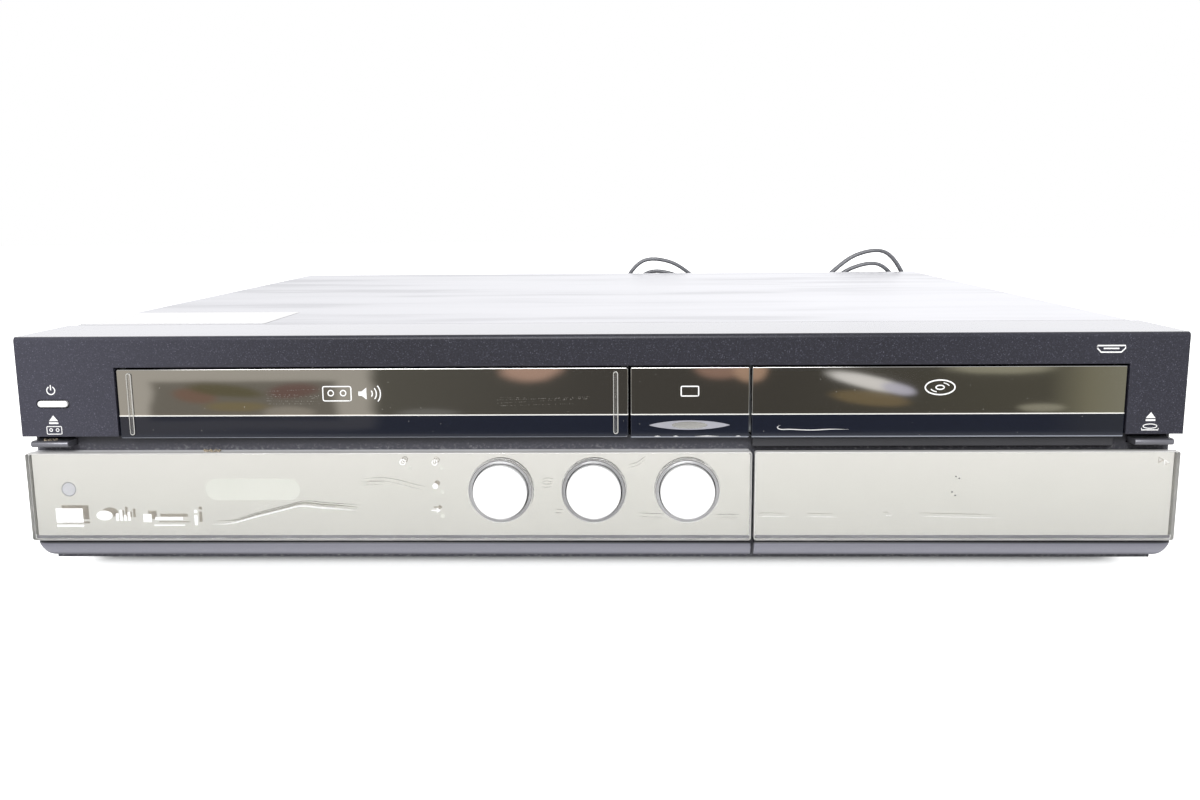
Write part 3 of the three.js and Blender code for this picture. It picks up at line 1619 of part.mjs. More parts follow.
function makeMainBoard() {
  const foot = floorZ + mainBoard.rise + mainBoard.thick / 2;
  const y0 = frontY + mainBoard.front;
  const width = boardRight - boardLeft;
  const depth = coverBackY - mainBoard.backGap - y0;
  const chips = chipShares.map(([x, y, w, d, tall]) =>
    box(
      boardLeft + width * x,
      boardLeft + width * (x + w),
      y0 + depth * y,
      y0 + depth * (y + d),
      foot,
      foot + tall * mainBoard.thick,
    ),
  );
  const [x, y, w, d] = chipShares[1];
  const step = (width * w) / chipSink.count;
  const sink = Array.from({ length: chipSink.count }, (_, i) => {
    const x0 = boardLeft + width * x + i * step;
    return box(
      x0, x0 + step * chipSink.fillShare, y0 + depth * y, y0 + depth * (y + d), foot,
      foot + chipSink.tall * mainBoard.thick,
    );
  });
  return join(boardWithPosts(mainBoard, boardLeft, boardRight), chips, sink);
}

function makeFanFrame() {
  const y1 = rearInnerY - seat;
  const y0 = y1 - fan.depth;
  const h = fan.size / 2;
  const frame = runY(
    roundedBox(new THREE.Shape(), fanX - h, fanX + h, fanZ - h, fanZ + h, fan.arm), y0, y1, 3,
  );
  const bore = rodY(fanX, fanZ, fan.bore, y0 - overrun, y1 + overrun, sides.medium);
  const cup = rodY(fanX, fanZ, fan.hub, y0, y0 + fan.armDepth, sides.medium);
  const arms = [0, 1, 2].map((i) =>
    box(0, fan.bore + overrun, y0, y0 + fan.armDepth, -fan.arm / 2, fan.arm / 2)
      .rotate([0, (i * 360) / 3 + fan.pitch, 0])
      .translate([fanX, 0, fanZ]),
  );
  const shaft = rodY(fanX, fanZ, fan.shaft, y0 + fan.armDepth / 2, y0 + fan.depth / 2, sides.pin);
  return join(cut(frame, bore), cup, arms, shaft);
}

function makeRotor() {
  const y0 = rearInnerY - seat - fan.depth + fan.armDepth + seat;
  const y1 = rearInnerY - seat - fan.armDepth / 2;
  const core = rodY(fanX, fanZ, fan.hub, y0, y1, sides.medium);
  const bore = rodY(fanX, fanZ, fan.shaftBore, y0 - overrun, y0 + fan.depth / 2, sides.pin);
  const middle = (y0 + y1) / 2;
  const blades = Array.from({ length: fan.blades }, (_, i) =>
    box(
      fan.hub - overrun, fan.blade - seat, -fan.chord / 2, fan.chord / 2, -fan.bladeThick / 2,
      fan.bladeThick / 2,
    )
      .rotate([fan.pitch, 0, 0])
      .rotate([0, (i * 360) / fan.blades, 0])
      .translate([fanX, middle, fanZ]),
  );
  return cut(join(core, blades), bore);
}

function makeRearSockets() {
  const y1 = rearInnerY - seat;
  const y0 = y1 - sockets.depth;
  const body = box(socketsLeft, socketsRight, y0, y1, socketsFoot, socketsTop);
  const sleeves = phonoPlaces().map(([x, z]) => rodY(x, z, sockets.radius, y1 - overrun, jackY, sides.pin));
  const bores = phonoPlaces().map(([x, z]) => rodY(
    x,
    z,
    sockets.bore,
    coverBackY - sockets.bore,
    jackY + overrun,
    6,
  ));
  const din = rodY(
    portX, socketsFoot + socketsTall * sockets.dinShare, sockets.dinRadius, y1 - overrun,
    rearOuterY + sockets.clear, sides.small,
  );
  const half = sockets.portWidth / 2 - sockets.clear;
  const deep = y1 - sockets.depth / 1.5;
  const port = (z, height) =>
    box(
      portX - half, portX + half, deep, y1 + overrun, z + sockets.clear / 2,
      z + height - sockets.clear / 2,
    );
  const tongue = box(
    portX - half + sockets.clear * 2,
    portX + half - sockets.clear * 2,
    deep - overrun,
    y1 - sockets.clear,
    hdmiZ + sockets.hdmiHeight / 2 - sockets.clear / 2,
    hdmiZ + sockets.hdmiHeight / 2 + sockets.clear / 2,
  );
  const open = cut(
    join(body, sleeves, din), bores, port(hdmiZ, sockets.hdmiHeight), port(lanZ, sockets.lanHeight),
  );
  return join(open, tongue);
}

function makeTuner() {
  const y1 = rearInnerY - seat;
  const body = box(tunerLeft, tunerRight, y1 - tuner.depth, y1, socketsFoot, socketsTop);
  const x = (tunerLeft + tunerRight) / 2;
  const necks = aerialPlaces().map((z) => rodY(x, z, tuner.radius, y1 - overrun, jackY, sides.small));
  const collars = aerialPlaces().map((z) => rodY(
    x,
    z,
    tuner.nut,
    rearOuterY + seat,
    rearOuterY + seat + tuner.nutThick,
    6,
  ));
  const bores = aerialPlaces().map((z) => rodY(x, z, tuner.bore, coverBackY, jackY + overrun, 6));
  return cut(join(body, necks, collars), bores);
}

function makeFoot() {
  return turned(0, 0, [
    [0, 0],
    [foot.radius - foot.pad, 0],
    [foot.radius, foot.pad],
    [foot.flare, face.footHeight - seat - foot.pad],
    [foot.flare, face.footHeight - seat],
    [0, face.footHeight - seat],
  ]);
}

// Mains lead

const upward = new THREE.Vector3(0, 0, 1);

function makeRelief() {
  const y0 = rearOuterY + seat;
  const y1 = y0 + lead.flange;
  return turnedY(exitX, exitZ, [
    [0, rearOuterY - lead.neckLength],
    [lead.neck, rearOuterY - lead.neckLength],
    [lead.neck, y0],
    [lead.flangeRadius, y0],
    [lead.flangeRadius, y1 - seat],
    [lead.flangeRadius - seat, y1],
    [lead.tailRoot, y1],
    [lead.tailTip, y1 + lead.tailLength],
    [0, y1 + lead.tailLength],
  ]);
}

const reliefEndY = rearOuterY + seat + lead.flange + lead.tailLength;

const hankX = halfWidth - hank.inset;
const hankY = coverBackY + hank.behind;

// The middle line of the hank at a turn in degrees
function hankPoint(turn) {
  const n = (turn - hank.startTurn) / 360;
  const t = THREE.MathUtils.degToRad(turn);
  const c = Math.cos(t);
  const s = Math.sin(t);
  const reach = hank.reach - hank.reachStep * n;
  const waist = overall.height * (hank.waistShare - hank.waistStepShare * n);
  const lobe = overall.height * (hank.lobeShare - hank.lobeStepShare * n);
  const late = THREE.MathUtils.smoothstep(turn, hank.endTurn - hank.shiftTurn, hank.endTurn);
  return new THREE.Vector3(
    hankX + reach * (c + hank.reachShare * Math.cos(hank.lobes * t)),
    hankY + hank.shift * late,
    overall.height * hank.middleShare + s * (waist + lobe * c * c * (1 + hank.skewShare * c)),
  );
}

// A flat cord along points: its width starts near the given direction and turns as little as it can,
// or stays level
function flatTube(points, start, count, level = false) {
  const rings = [];
  let wide = start.clone();
  points.forEach((point, i) => {
    const before = points[Math.max(i - 1, 0)];
    const after = points[Math.min(i + 1, points.length - 1)];
    const along = after.clone().sub(before).normalize();
    if (level) wide = along.clone().cross(upward);
    wide = wide.clone().addScaledVector(along, -wide.dot(along)).normalize();
    const thin = along.clone().cross(wide);
    for (let k = 0; k < count; k++) {
      const angle = (2 * Math.PI * k) / count;
      rings.push(
        point
          .clone()
          .addScaledVector(wide, (Math.cos(angle) * lead.width) / 2)
          .addScaledVector(thin, (Math.sin(angle) * lead.thick) / 2),
      );
    }
  });
  const faces = [];
  const last = (points.length - 1) * count;
  for (let i = 0; i < points.length - 1; i++)
    for (let k = 0; k < count; k++) {
      const a = i * count + k;
      const b = i * count + ((k + 1) % count);
      faces.push(a, b, b + count, a, b + count, a + count);
    }
  for (let k = 1; k < count - 1; k++) {
    faces.push(0, k + 1, k);
    faces.push(last, last + k, last + k + 1);
  }
  const geometry = new THREE.BufferGeometry();
  geometry.setAttribute("position", new THREE.Float32BufferAttribute(rings.flatMap((v) => v.toArray()), 3));
  geometry.setIndex(faces);
  return toSolid(geometry);
}

function smoothRoute(points, step) {
  const curve = new THREE.CatmullRomCurve3(
    points.map((p) => new THREE.Vector3(...p)), false, "centripetal",
  );
  const count = Math.round(curve.getLength() / step);
  return curve.getSpacedPoints(count);
}

const hankStart = hankPoint(hank.startTurn);
const hankEnd = hankPoint(hank.endTurn);

// The route from the strain relief to the hank, along the table: share of the way to the hank along X,
// distance behind the case, height
const runRoute = [
  [0, 31, 30],
  [0.006, 39, 28.4],
  [0.038, 46.5, 23.5],
  [0.099, 50.5, 16],
  [0.175, 49.5, 9],
  [0.25, 44, 4.2],
  [0.326, 36, 2.1],
  [0.408, 27, 1.7],
  [0.495, 19, 1.7],
  [0.594, 14, 1.7],
  [0.711, 12.6, 1.8],
  [0.839, 12.5, 2.2],
  [0.932, 12.5, 2.7],
];

// The route from the hank to the plug: distance along X from the hank's end, distance behind the case,
// share of the height of the hank's end
const tailRoute = [
  [0.1, 18.6, 0.829],
  [1.1, 19.2, 0.641],
  [4.5, 20.5, 0.452],
  [11.4, 22.3, 0.283],
  [21.9, 24.2, 0.143],
  [34.9, 25.8, 0.064],
  [49.9, 26.7, 0.036],
  [65.9, 27, 0.032],
  [79.9, 27, 0.032],
];

function runPoints() {
  const end = [hankStart.x - lead.width - seat, hankStart.y, hankStart.z];
  const rise = exitZ / runRoute[0][2];
  const middle = runRoute.map(([share, back, height], i) => [
    exitX + share * (end[0] - exitX),
    coverBackY + back,
    i < lead.freePoints ? height * rise : height,
  ]);
  return [[exitX, reliefEndY + seat, exitZ], ...middle, end];
}

function tailPoints() {
  const top = hankEnd.z - lead.width - seat;
  const rest = tailRoute.map(([aside, back, share]) => [hankEnd.x + aside, coverBackY + back, top * share]);
  return [[hankEnd.x, hankEnd.y, top], ...rest];
}

function makeHank() {
  const turns = [];
  const firstTurn = Math.ceil(hank.startTurn / hank.stepTurn) * hank.stepTurn;
  for (let turn = firstTurn; turn <= hank.endTurn; turn += hank.stepTurn) turns.push(turn);
  const points = [hank.startTurn, ...turns].map(hankPoint);
  const first = points[0].clone();
  first.x -= lead.width;
  const final = points[points.length - 1].clone();
  final.z -= lead.width;
  const path = [first, ...points, final];
  reportHankGap(path);
  return flatTube(path, new THREE.Vector3(0, 1, 0), hank.sides);
}

// Prints the hank's least gap to itself, measured between points that are well apart along it
function reportHankGap(path) {
  const fine = new THREE.CatmullRomCurve3(path).getSpacedPoints(8 * path.length);
  const step = fine[0].distanceTo(fine[1]);
  const skip = Math.ceil((10 * lead.width) / step);
  let least = Infinity;
  fine.forEach((a, i) => {
    for (let j = i + skip; j < fine.length; j++) {
      const b = fine[j];
      const beside = Math.hypot(a.x - b.x, a.z - b.z) - lead.thick;
      const aside = Math.abs(a.y - b.y) > lead.width ? a.distanceTo(b) - lead.width : beside;
      least = Math.min(least, aside);
    }
  });
  console.log("least gap of the hank to itself: " + least.toFixed(2) + " mm");
}

function makeTie() {
  const half = hank.tieWidth / 2;
  const strandTop = hankPoint(hank.highTurn).z + lead.thick / 2;
  const strandFoot = hankPoint(hank.lowTurn).z - lead.thick / 2;
  const clear = hank.tieClear;
  const y0 = hankY - lead.width / 2 - clear;
  const y1 = hankY + lead.width / 2 + clear;
  const z0 = strandFoot - 2 * clear;
  const z1 = strandTop + 2 * clear;
  const w = hank.tieWall;
  const x = hankX;
  const outer = box(x - half, x + half, y0 - w, y1 + w, z0 - w, z1 + w);
  const inner = box(x - half - overrun, x + half + overrun, y0, y1, z0, z1);
  const knot = box(
    x - half, x + half, y1 + w / 2, y1 + w + half, (z0 + z1) / 2 - half, (z0 + z1) / 2 + half,
  );
  return join(cut(outer, inner), knot);
}

function makePlug() {
  const [x0, y, z] = tailPoints().at(-1);
  const start = x0 + seat;
  const half = plug.width / 2;
  const shape = new THREE.Shape();
  shape.moveTo(start, y - lead.width);
  shape.lineTo(start + plug.neck, y - lead.width * 1.1);
  shape.quadraticCurveTo(start + plug.neck * 1.3, y - half, start + plug.neck * 1.6, y - half);
  shape.lineTo(start + plug.neck + plug.length, y - half);
  shape.lineTo(start + plug.neck + plug.length, y + half);
  shape.lineTo(start + plug.neck * 1.6, y + half);
  shape.quadraticCurveTo(start + plug.neck * 1.3, y + half, start + plug.neck, y + lead.width * 1.1);
  shape.lineTo(start, y + lead.width);
  const z0 = z - lead.thick / 2 - seat;
  const body = runZ(shape, z0, z0 + plug.thick, 5);
  const tip = start + plug.neck + plug.length;
  const blades = [-1, 1].map((side) => {
    const middle = y + (side * plug.bladePitch) / 2;
    return box(
      tip - overrun, tip + plug.bladeLength, middle - plug.bladeThick / 2,
      middle + plug.bladeThick / 2, z0 + (plug.thick - plug.blade) / 2,
      z0 + (plug.thick + plug.blade) / 2,
    );
  });
  return join(body, blades);
}

// Assembly

add("chassis_base", makeChassis(), "steel");
add("top_cover", makeCover(), "satinBlack");
add("rear_panel", makeRearPanel(), "satinBlack");
add("front_fascia", makeFascia(), "speckledBlack");
add("front_frame", makeFrame(), "neckBlack");
add("lower_panel", makeLowerPanel(), "silverMirror");
add("lower_trim_strip", makeStrip(), "stripGrey");
add(
  "centre_window",
  box(centreLeft, centreRight, mirrorY, mirrorBackY, mirrorBottom - seat, mirrorTop),
  "smokedMirror",
);

const footPlaces = {
  foot_front_left: [-halfWidth + foot.inset, frontY + foot.frontInset],
  foot_front_right: [halfWidth - foot.inset, frontY + foot.frontInset],
  foot_rear_left: [-halfWidth + foot.inset, coverBackY - foot.backInset],
  foot_rear_right: [halfWidth - foot.inset, coverBackY - foot.backInset],
};
for (const [name, [x, y]] of Object.entries(footPlaces)) add(name, makeFoot(), "rubber").position.set(
  x, y, 0,
);

add("tape_door", makeTapeDoor(), "smokedMirror");

const flipDoor = new THREE.Group();
add("flip_door_panel", makeDoorPanel(), "silverMirror", flipDoor);
add("flip_door_backing", makeDoorBacking(), "blackPlastic", flipDoor);
add("flip_door_trim", makeDoorTrim(), "stripGrey", flipDoor);
recorder.add(flipDoor);

add("power_button", makePowerButton(), "keySilver");
add("tape_eject_tab", makeTab(-1), "keySilver");
add("tray_tab", makeTab(1), "keySilver");
["round_key_left", "round_key_middle", "round_key_right"].forEach((name, i) => {
  add(name, makeRoundKey(), "keySilver").position.set(keyPlaces[i], 0, keyZ);
});
add("sensor_lens", makeSensor(), "sensorGlass");
add("display_module", makeDisplay(), "blackPlastic");
add("key_board", makeKeyBoard(), "board");
add("socket_pocket", makePocket(), "neckBlack");
add("front_sockets", makeFrontSockets(), "greyPlastic");
smallKeyPlaces().forEach((x, i) => add("small_key_" + (i + 1), makeSmallKey(x), "greyPlastic"));

add("drive_housing", makeHousing(), "steel");
const trayUnit = new THREE.Group();
add("disc_tray", makeTray(), "blackPlastic", trayUnit);
add("tray_front", makeTrayFront(), "smokedMirror", trayUnit);
recorder.add(trayUnit);
add("disc_hub", makeHub(), "blackPlastic");
add("laser_sled", makeSled(), "greyPlastic");

add("deck_plate", makeDeck(), "steel");
const drums = new THREE.Group();
drums.position.set(drumX, drumY, deckTop + drum.lift + seat);
drums.rotation.x = drumTilt;
add("drum_base", makeDrumBase(), "aluminium", drums);
add("head_drum", makeDrum(), "aluminium", drums);
recorder.add(drums);
add("supply_reel", makeReel(reelPlaces[0]), "blackPlastic");
add("takeup_reel", makeReel(reelPlaces[1]), "blackPlastic");
add("capstan", makeCapstan(), "steel");
add("pinch_arm", makePinchArm(), "blackPlastic");
add("cassette_carriage", makeCarriage(), "steel");
add("carriage_slider", makeSlider(), "steel");
add("carriage_rail_left", makeRail(-1), "steel");
add("carriage_rail_right", makeRail(1), "steel");

add("hard_drive", makeHardDrive(), "aluminium");
add("drive_bracket", makeBracket(), "steel");
add("power_supply", makeSupply(), "board");
add("main_board", makeMainBoard(), "board");
add("fan_frame", makeFanFrame(), "blackPlastic");
add("fan_rotor", makeRotor(), "blackPlastic");
add("rear_sockets", makeRearSockets(), "blackPlastic");
add("tuner_block", makeTuner(), "steel");

add("strain_relief", makeRelief(), "rubber");
const cordStep = 3 * lead.width;
add(
  "cord_run", flatTube(smoothRoute(runPoints(), cordStep / 2), new THREE.Vector3(1, 0, 0), 8, true),
  "cordBlack",
);
add("cord_hank", makeHank(), "cordBlack");
add(
  "cord_tail", flatTube(smoothRoute(tailPoints(), cordStep / 2), new THREE.Vector3(0, 1, 0), 8),
  "cordBlack",
);
add("cord_tie", makeTie(), "rubber");
add("mains_plug", makePlug(), "rubber");

export default recorder;
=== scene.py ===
"""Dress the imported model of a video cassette, disc and hard drive recorder."""

import functools
import math
import random

import bmesh
import bpy
from bpy.props import FloatProperty, FloatVectorProperty, IntProperty, PointerProperty
from mathutils import Matrix, Vector


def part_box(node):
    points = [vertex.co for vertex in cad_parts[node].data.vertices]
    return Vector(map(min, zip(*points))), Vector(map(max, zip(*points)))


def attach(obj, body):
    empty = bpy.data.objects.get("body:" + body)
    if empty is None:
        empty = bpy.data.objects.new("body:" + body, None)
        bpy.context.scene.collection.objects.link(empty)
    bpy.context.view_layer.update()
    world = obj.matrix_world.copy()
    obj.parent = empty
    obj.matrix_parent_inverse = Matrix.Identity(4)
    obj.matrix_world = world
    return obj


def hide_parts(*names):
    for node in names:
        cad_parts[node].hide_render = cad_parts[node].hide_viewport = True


bl_info = {
    "name": "Recorder dressing",
    "version": (1, 0, 0),
    "blender": (4, 5, 0),
    "location": "View3D > Sidebar > Recorder",
    "description": "Builds the visible pieces, finishes and studio of a home video recorder",
    "category": "Object",
}

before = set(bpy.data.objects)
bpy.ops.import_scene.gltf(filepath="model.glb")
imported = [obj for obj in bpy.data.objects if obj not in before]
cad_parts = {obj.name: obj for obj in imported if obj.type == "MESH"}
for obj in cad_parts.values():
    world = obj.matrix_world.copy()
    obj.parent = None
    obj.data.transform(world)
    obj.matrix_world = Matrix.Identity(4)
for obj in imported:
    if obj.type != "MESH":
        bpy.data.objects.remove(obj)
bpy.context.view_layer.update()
MM = 0.001
# Half the front's width, in mm
HALF_FRONT = 215.0
WHITE = (1, 1, 1, 1)


def node_box(name):
    """Return a CAD node's lowest and highest corners in millimetres."""
    low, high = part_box(name)
    return Vector(low) / MM, Vector(high) / MM


def node_middle(name):
    """Return the x, y and z of the middle of a CAD node's box in millimetres."""
    return [(low + high) / 2 for low, high in zip(*node_box(name))]


def linear(hex_colour):
    """Turn an sRGB hex colour into linear red, green, blue and alpha."""
    parts = [int(hex_colour[i : i + 2], 16) / 255 for i in (1, 3, 5)]
    return tuple(c / 12.92 if c <= 0.04045 else ((c + 0.055) / 1.055) ** 2.4 for c in parts) + (1.0,)


# Nodes and finishes

def add_node(tree, kind, inputs=(), stops=(), **settings):
    """Add a node with its settings and colour stops; an input is a value, a socket or a node's output."""
    made = tree.nodes.new(kind if kind.startswith(("Geometry", "NodeGroup")) else "ShaderNode" + kind)
    for name, value in settings.items():
        setattr(made, name, value)
    if stops:
        ramp = made.color_ramp.elements
        while len(ramp) < len(stops):
            ramp.new(0.5)
        for element, (place, colour) in zip(ramp, stops):
            element.position = place
            element.color = linear(colour)
    for name, value in inputs.items() if isinstance(inputs, dict) else enumerate(inputs):
        if isinstance(value, bpy.types.Node):
            value = next(socket for socket in value.outputs if socket.enabled)
        if isinstance(value, bpy.types.NodeSocket):
            tree.links.new(value, made.inputs[name])
        else:
            made.inputs[name].default_value = value
    return made


def new_finish(name):
    """Return a bare material, what adds nodes to it, and object coordinates counted in millimetres."""
    finish = bpy.data.materials.new(name)
    finish.use_nodes = True
    finish.node_tree.nodes.clear()
    add = functools.partial(add_node, finish.node_tree)
    place = add("TexCoord").outputs["Object"]
    return finish, add, add("VectorMath", [place, [1 / MM] * 3], operation="MULTIPLY")


def add_glare(add, shader, most, rough, colour=(0.94, 0.94, 0.97, 1)):
    """Cover a shader with a pale gloss that only shows at a low angle, as satin paint does."""
    facing = add("LayerWeight", {"Blend": 0.5}).outputs["Facing"]
    share = add("MapRange", [facing, 0.68, 0.9, 0.0, most], clamp=True)
    gloss = add("BsdfGlossy", {"Color": colour, "Roughness": rough})
    return add("MixShader", [share, shader, gloss])


def moulded(name, dark, light, grain=0.5, bump=0.03, rough=(0.4, 0.55), patch=35, coat=0.0, **more):
    """Moulded or coated surface: a fine grain in its relief, a slow drift in colour and gloss."""
    finish, add, place = new_finish(name)
    fine = add("TexNoise", {"Vector": place, "Scale": 1 / grain, "Detail": 2})
    slow = add("TexNoise", {"Vector": place, "Scale": 1 / patch, "Detail": 4})
    shader = add("BsdfPrincipled", {
        "Base Color": add("ValToRGB", [slow], [(0.3, dark), (0.7, light)]),
        "Roughness": add("MapRange", [slow, 0.0, 1.0, *rough]),
        "Normal": add("Bump", {"Height": fine, "Strength": 1, "Distance": bump * MM}),
        "Coat Weight": coat,
        **more,
    })
    add("OutputMaterial", [shader])
    return finish


def brushed(name, dark, light, along, rough=(0.25, 0.4), bump=0.01):
    """Rolled, drawn or turned metal: fine lines along one axis over a slow change in tone."""
    finish, add, place = new_finish(name)
    stretch = [0.02 if axis == along else 3.0 for axis in "xyz"]
    lines_at = add("VectorMath", [place, stretch], operation="MULTIPLY")
    lines = add("TexNoise", {"Vector": lines_at, "Scale": 1, "Detail": 3})
    slow = add("TexNoise", {"Vector": place, "Scale": 1 / 30, "Detail": 3})
    tone = add("MapRange", [add("Math", [lines, slow], operation="ADD"), 0.0, 1.0, -0.5, 1.5])
    shader = add("BsdfPrincipled", {
        "Base Color": add("ValToRGB", [tone], [(0.2, dark), (0.8, light)]),
        "Metallic": 1.0,
        "Roughness": add("MapRange", [lines, 0.0, 1.0, *rough]),
        "Normal": add("Bump", {"Height": lines, "Strength": 0.6, "Distance": bump * MM}),
    })
    add("OutputMaterial", [shader])
    return finish


def coated_steel():
    """Sheet steel under satin black powder coat: dark face on, pale by glare at a low angle."""
    finish, add, place = new_finish("satin_black_powder_coat")
    # The coat's orange peel is about 0.8 mm from bump to bump
    peel = add("TexNoise", {"Vector": place, "Scale": 1 / 0.8, "Detail": 1.5})
    # Wiped patches, some 60 mm wide, change the gloss a little
    slow = add("TexNoise", {"Vector": place, "Scale": 1 / 60, "Detail": 5, "Distortion": 0.6})
    paint = add("BsdfPrincipled", {
        "Base Color": add("ValToRGB", [slow], [(0.3, "#1a1a1d"), (0.7, "#232328")]),
        "Roughness": add("MapRange", [slow, 0.0, 1.0, 0.3, 0.42]),
        "Normal": add("Bump", {"Height": peel, "Strength": 1, "Distance": 0.0015 * MM}),
        "Coat Weight": 0.3,
        "Coat Roughness": 0.2,
    })
    # A cloth left streaks along the cover, some 30 mm wide and 160 mm long
    wiped_at = add("VectorMath", [place, (1 / 160, 1 / 30, 1)], operation="MULTIPLY")
    wiped = add("TexNoise", {"Vector": wiped_at, "Scale": 1, "Detail": 2.5})
    streaks = add("ValToRGB", [wiped], [(0.36, "#ececf0"), (0.46, "#f7f7fb"), (0.6, "#fbfbff")])
    # Painted shade: the glare's colour is darker towards the left, rising to full as far as 120 mm right of the
    # middle
    across = add("SeparateXYZ", [place]).outputs[0]
    left_shade = add("MapRange", [across, -HALF_FRONT, 120.0, 0.88, 1.0])
    glare_streaks_and_shade = add("VectorMath", {0: streaks, "Scale": left_shade}, operation="SCALE")
    add("OutputMaterial", [add_glare(add, paint, 0.96, 0.34, glare_streaks_and_shade)])
    return finish


def flecked_abs():
    """Injection moulded ABS with aluminium flakes in it: charcoal with fine silvery dots."""
    finish, add, place = new_finish("charcoal_abs_with_flakes")
    # Flakes are under 0.2 mm, and drawn 0.25 mm apart so that they show
    flakes = add("TexVoronoi", {"Vector": place, "Scale": 1 / 0.25})
    chance = add("SeparateColor", [flakes.outputs["Color"]])
    colour = add(
        "ValToRGB", [chance],
        [(0.0, "#15151e"), (0.7, "#1d1d28"), (0.9, "#292935"), (0.97, "#383843"), (1.0, "#555562")],
    )
    # Painted reflection: the ends are painted lighter, the left end more than the right
    across = add("MapRange", [add("SeparateXYZ", [place]).outputs[0], -HALF_FRONT, HALF_FRONT])
    painted_end_light = add(
        "ValToRGB", [across], [(0.02, "#2e2e36"), (0.3, "#000000"), (0.75, "#000000"), (0.96, "#16161b")]
    )
    grain = add("TexNoise", {"Vector": place, "Scale": 1 / 0.6, "Detail": 2})
    plastic = add("BsdfPrincipled", {
        "Base Color": add("Mix", {0: 1.0, 6: colour, 7: painted_end_light}, data_type="RGBA", blend_type="ADD"),
        "Metallic": 0.12,
        "Specular IOR Level": 0.42,
        "Roughness": add("MapRange", [chance.outputs[1], 0.0, 1.0, 0.36, 0.46]),
        "Normal": add("Bump", {"Height": grain, "Strength": 1, "Distance": 0.005 * MM}),
    })
    add("OutputMaterial", [add_glare(add, plastic, 0.9, 0.16)])
    return finish


def dusty_neck():
    """Matt black ABS in the recess, with house dust lying along its lower edge."""
    finish, add, place = new_finish("black_abs_with_dust")
    x, _, z = add("SeparateXYZ", [place]).outputs
    fine = add("TexNoise", {"Vector": place, "Scale": 1 / 0.7, "Detail": 3})
    # Fibres and crumbs gather where the neck meets the lower panel, at 52 to 54 mm
    low = add("MapRange", [z, 55.5, 52.4, 0.0, 0.75], clamp=True)
    heaps = add("TexNoise", {"Vector": place, "Scale": 1 / 1.1, "Detail": 8, "Roughness": 0.8})
    heap = add("MapRange", [heaps, 0.5, 0.66], clamp=True)
    dust = add("Math", [low, heap], operation="MULTIPLY")
    film = add("MapRange", [fine, 0.0, 1.0, 0.0, 0.22])
    colour = add(
        "ValToRGB", [add("Math", [dust, film], operation="ADD")],
        [(0.0, "#3e3e46"), (0.25, "#505059"), (0.6, "#7f7f84"), (1.0, "#b5b1aa")],
    )
    # No light gets up under the windows, and less of it where the tray's sill juts out, right of 58 mm
    under = add("MapRange", [z, 54.2, 58.2, 1.0, 0.3], clamp=True)
    sill = add("MapRange", [x, 56.0, 58.5, 1.0, 0.66], clamp=True)
    dim = add("Math", [under, sill], operation="MULTIPLY")
    shader = add("BsdfPrincipled", {
        "Base Color": add("VectorMath", {0: colour, "Scale": dim}, operation="SCALE"),
        "Roughness": 0.55,
        "Normal": add("Bump", {"Height": fine, "Strength": 1, "Distance": 0.03 * MM}),
    })
    add("OutputMaterial", [shader])
    return finish


def window_acrylic():
    """Smoked acrylic, mirrored behind its upper part and lacquered blue-black behind its lower band."""
    finish, add, place = new_finish("smoked_half_mirror_acrylic")
    z = add("SeparateXYZ", [place]).outputs[2]
    # The band ends at 66.2 mm and the mirror begins at 66.8 mm, with a bright line between. The grey below 58.3
    # mm and the near white above 83.8 mm are painted highlights on the window's lower and upper edges
    colour = add(
        "ValToRGB", [add("MapRange", [z, 50.0, 100.0])],
        [(0.0, "#7d818a"), (0.166, "#171b27"), (0.327, "#e6e5e1"), (0.336, "#a8a8a6"), (0.676, "#f4f4f2")],
    )
    colour.color_ramp.interpolation = "CONSTANT"
    # Dust is finer than 0.1 mm, and drawn up to 0.2 mm wide so that it shows, one speck in 3 mm
    dust = add("TexVoronoi", {"Vector": place, "Scale": 1 / 3})
    speck = add("Math", [dust.outputs["Distance"], 0.035], operation="LESS_THAN")
    some = add("Math", [add("SeparateColor", [dust.outputs["Color"]]), 0.45], operation="GREATER_THAN")
    dusty = add("Math", [speck, some], operation="MULTIPLY")
    mirror = add("Math", [z, 66.8], operation="GREATER_THAN")
    metal = add("Math", [mirror, dusty], operation="SUBTRACT")
    shader = add("BsdfPrincipled", {
        "Base Color": add("Mix", {0: dusty, 6: colour, 7: linear("#b5b2ac")}, data_type="RGBA"),
        "Metallic": add("Math", [metal, 0.0], operation="MAXIMUM"),
        "Roughness": 0.04,
        "IOR": 1.49,
    })
    add("OutputMaterial", [shader])
    return finish


def mirror_sheet():
    """Silvered film behind the clear panels, a little warm and faintly uneven."""
    finish, add, place = new_finish("silver_mirror_film")
    slow = add("TexNoise", {"Vector": place, "Scale": 1 / 45, "Detail": 3})
    # Painted shade and light: the film is coloured darker low down and lighter towards its upper edge, from 20
    # to 52 mm above the floor, as the floor that it mirrors is darker near the case
    wave = add("MapRange", [slow, 0.0, 1.0, -6.0, 6.0])
    level = add("Math", [add("SeparateXYZ", [place]).outputs[2], wave], operation="ADD")
    tall = add("MapRange", [level, 18.0, 54.0], clamp=True)
    shader = add("BsdfPrincipled", {
        "Base Color": add("ValToRGB", [tall], [(0.0, "#dcdbd8"), (0.5, "#e7e6e2"), (1.0, "#f0eeeb")]),
        "Metallic": 1.0,
        "Roughness": add("MapRange", [slow, 0.0, 1.0, 0.07, 0.1]),
    })
    add("OutputMaterial", [shader])
    return finish


